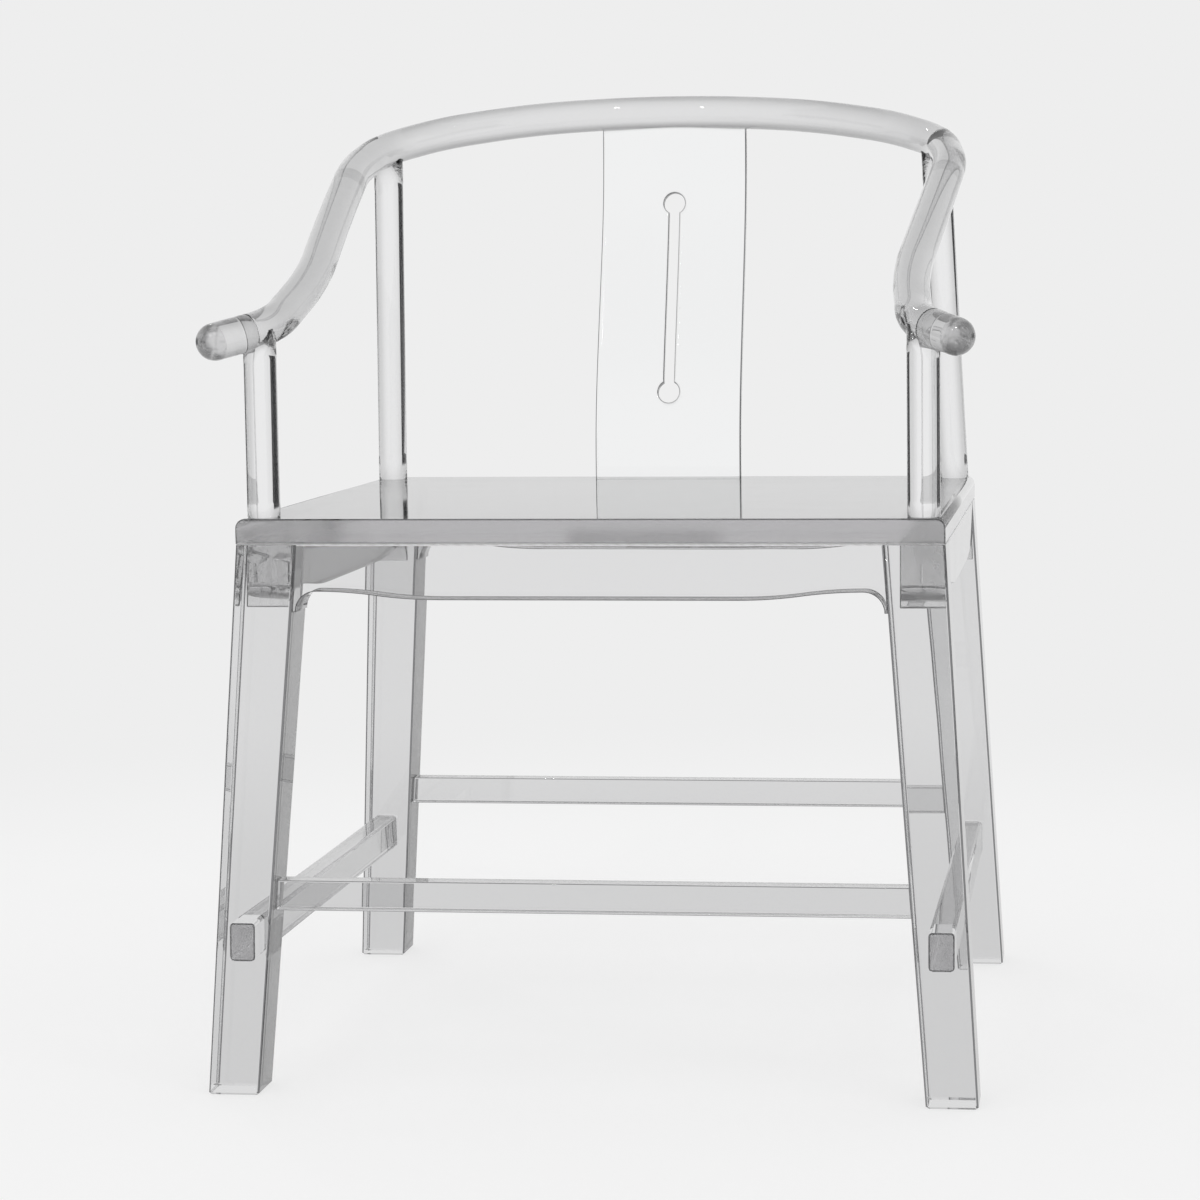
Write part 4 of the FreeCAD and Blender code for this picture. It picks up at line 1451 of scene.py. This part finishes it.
class AddStage(Operator):
    """Adds the pale floor, the studio light and the camera"""

    bl_idname = "armchair.add_stage"
    bl_label = "Stage"

    def execute(self, context):
        self.add_floor()
        self.add_camera()
        self.add_lamps()
        self.set_world()
        scene = context.scene
        scene.view_settings.view_transform = "Standard"
        scene.cycles.max_bounces = BOUNCES
        scene.cycles.transmission_bounces = BOUNCES
        scene.cycles.glossy_bounces = BOUNCES
        scene.cycles.transparent_max_bounces = CLEAR_BOUNCES
        return {"FINISHED"}

    def add_floor(self):
        shell = Shell()
        turns = [2 * pi * number / FLOOR_SIDES for number in range(FLOOR_SIDES)]
        rim = [(FLOOR_RADIUS * cos(turn), FLOOR_RADIUS * sin(turn), 0) for turn in turns]
        shell.face(shell.ring(rim))
        floor = add_object("studio_floor", shell.mesh("studio_floor"))
        material = bpy.data.materials.new("pale_floor")
        make = Maker(material)
        from_camera, turned = ray_kinds(make)
        x, y = make.axes(make.place(), "XY")
        away = make.maths("SQRT", x * x + y * y)
        matt = make.node(
            "ShaderNodeBsdfPrincipled",
            None,
            {"Base Color": FLOOR_GREY, "Roughness": 1.0, "Specular IOR Level": 0.0},
        )
        # The camera sees the chair's soft shadow close to its feet and an even tone further out
        background = opaque(chair().studio.background)
        shade = make.node("ShaderNodeBsdfDiffuse", None, {"Color": (0.31, 0.31, 0.31, 1.0)})
        shadowed = make.node("ShaderNodeAddShader", None, {0: shade, 1: make.glow(background, 0.787)})
        shown = make.either(make.step(away, 0.7, 2.0), shadowed, make.glow(background))
        # Clear plastic shows the flags' feet far out, and a little painted shade under the chair
        flags = dark_flags(make, x, y) * make.step(away, 5.2, 6.2)
        flags_and_painted_shade = make.maths("MAXIMUM", flags, make.step(away, 2.4, 0.5) * 0.12)
        through = make.glow(make.mix_colour(flags_and_painted_shade, ROOM, DARK))
        make.show(make.either(turned, make.either(from_camera, matt, shown), through))
        floor.data.materials.clear()
        floor.data.materials.append(material)

    def add_camera(self):
        studio = chair().studio
        data = bpy.data.cameras.new("studio_camera")
        data.sensor_width = 36
        data.lens = studio.lens
        data.shift_x = studio.shift
        data.clip_end = 400
        camera = add_object("studio_camera", data)
        turn, tilt, roll = studio.aim
        ahead = Vector((sin(turn) * cos(tilt), cos(turn) * cos(tilt), -sin(tilt)))
        across = Vector((cos(turn), -sin(turn), 0))
        up = across.cross(ahead)
        right = across * cos(roll) + up * sin(roll)
        top = up * cos(roll) - across * sin(roll)
        facing = Matrix((right, top, -ahead)).transposed()
        camera.matrix_world = Matrix.Translation(studio.place) @ facing.to_4x4()
        bpy.context.scene.camera = camera

    def add_lamps(self):
        for name, place in LAMPS.items():
            data = bpy.data.lights.new(name, "AREA")
            data.shape = "RECTANGLE"
            data.size, data.size_y, data.energy = LAMP_WIDTH, LAMP_HEIGHT, LAMP_POWER
            lamp = add_object(name, data)
            lamp.visible_transmission = False
            turn = (LAMP_AIM - Vector(place)).to_track_quat("-Z", "Y").to_matrix()
            lamp.matrix_world = Matrix.Translation(place) @ turn.to_4x4()

    def set_world(self):
        """A pale room with dark flags in its corners, which draw the edges of clear plastic."""
        world = bpy.data.worlds.new("studio")
        bpy.context.scene.world = world
        make = Maker(world)
        from_camera, _ = ray_kinds(make)
        x, y, z = make.axes(make.node("ShaderNodeTexCoord", output=0), "XYZ")
        walls = make.mix_colour(dark_flags(make, x, y) * make.step(z, 0.16, 0.07), ROOM, DARK)
        room = make.mix_colour(make.step(z, 0.35, 0.85) * 0.4, walls, DIM)
        shown = make.mix_colour(from_camera, room, opaque(chair().studio.background))
        surface = make.node("ShaderNodeBackground", None, {"Color": shown, "Strength": 1.0})
        make.show(surface, "ShaderNodeOutputWorld")


OPERATORS = (AddSeat, AddLegs, AddAprons, AddStretchers, AddPosts, AddRail, AddSplat, AddStage)
GROUPS = (SeatSizes, LegSizes, ApronSizes, BarSizes, RailSizes, SplatSizes, Finish, Studio, Armchair)


class ArmchairPanel(Panel):
    """Sizes and pieces of the armchair"""

    bl_idname = "VIEW3D_PT_armchair"
    bl_label = "Clear armchair"
    bl_space_type = "VIEW_3D"
    bl_region_type = "UI"
    bl_category = "Armchair"

    def draw(self, context):
        sizes = context.scene.armchair
        for group in self.own_names(sizes):
            box = self.layout.box()
            box.label(text=group.capitalize())
            part = getattr(sizes, group)
            for size in self.own_names(part):
                box.prop(part, size)
        for operator in OPERATORS:
            self.layout.operator(operator.bl_idname)

    def own_names(self, group):
        return [name for name in group.bl_rna.properties.keys() if name not in {"rna_type", "name"}]


CLASSES = (*GROUPS, *OPERATORS, ArmchairPanel)


def register():
    for made in CLASSES:
        bpy.utils.register_class(made)
    bpy.types.Scene.armchair = PointerProperty(type=Armchair)


def unregister():
    del bpy.types.Scene.armchair
    for made in reversed(CLASSES):
        bpy.utils.unregister_class(made)


def main():
    register()
    for operator in OPERATORS:
        group, name = operator.bl_idname.split(".")
        getattr(getattr(bpy.ops, group), name)()


if __name__ == "__main__":
    main()
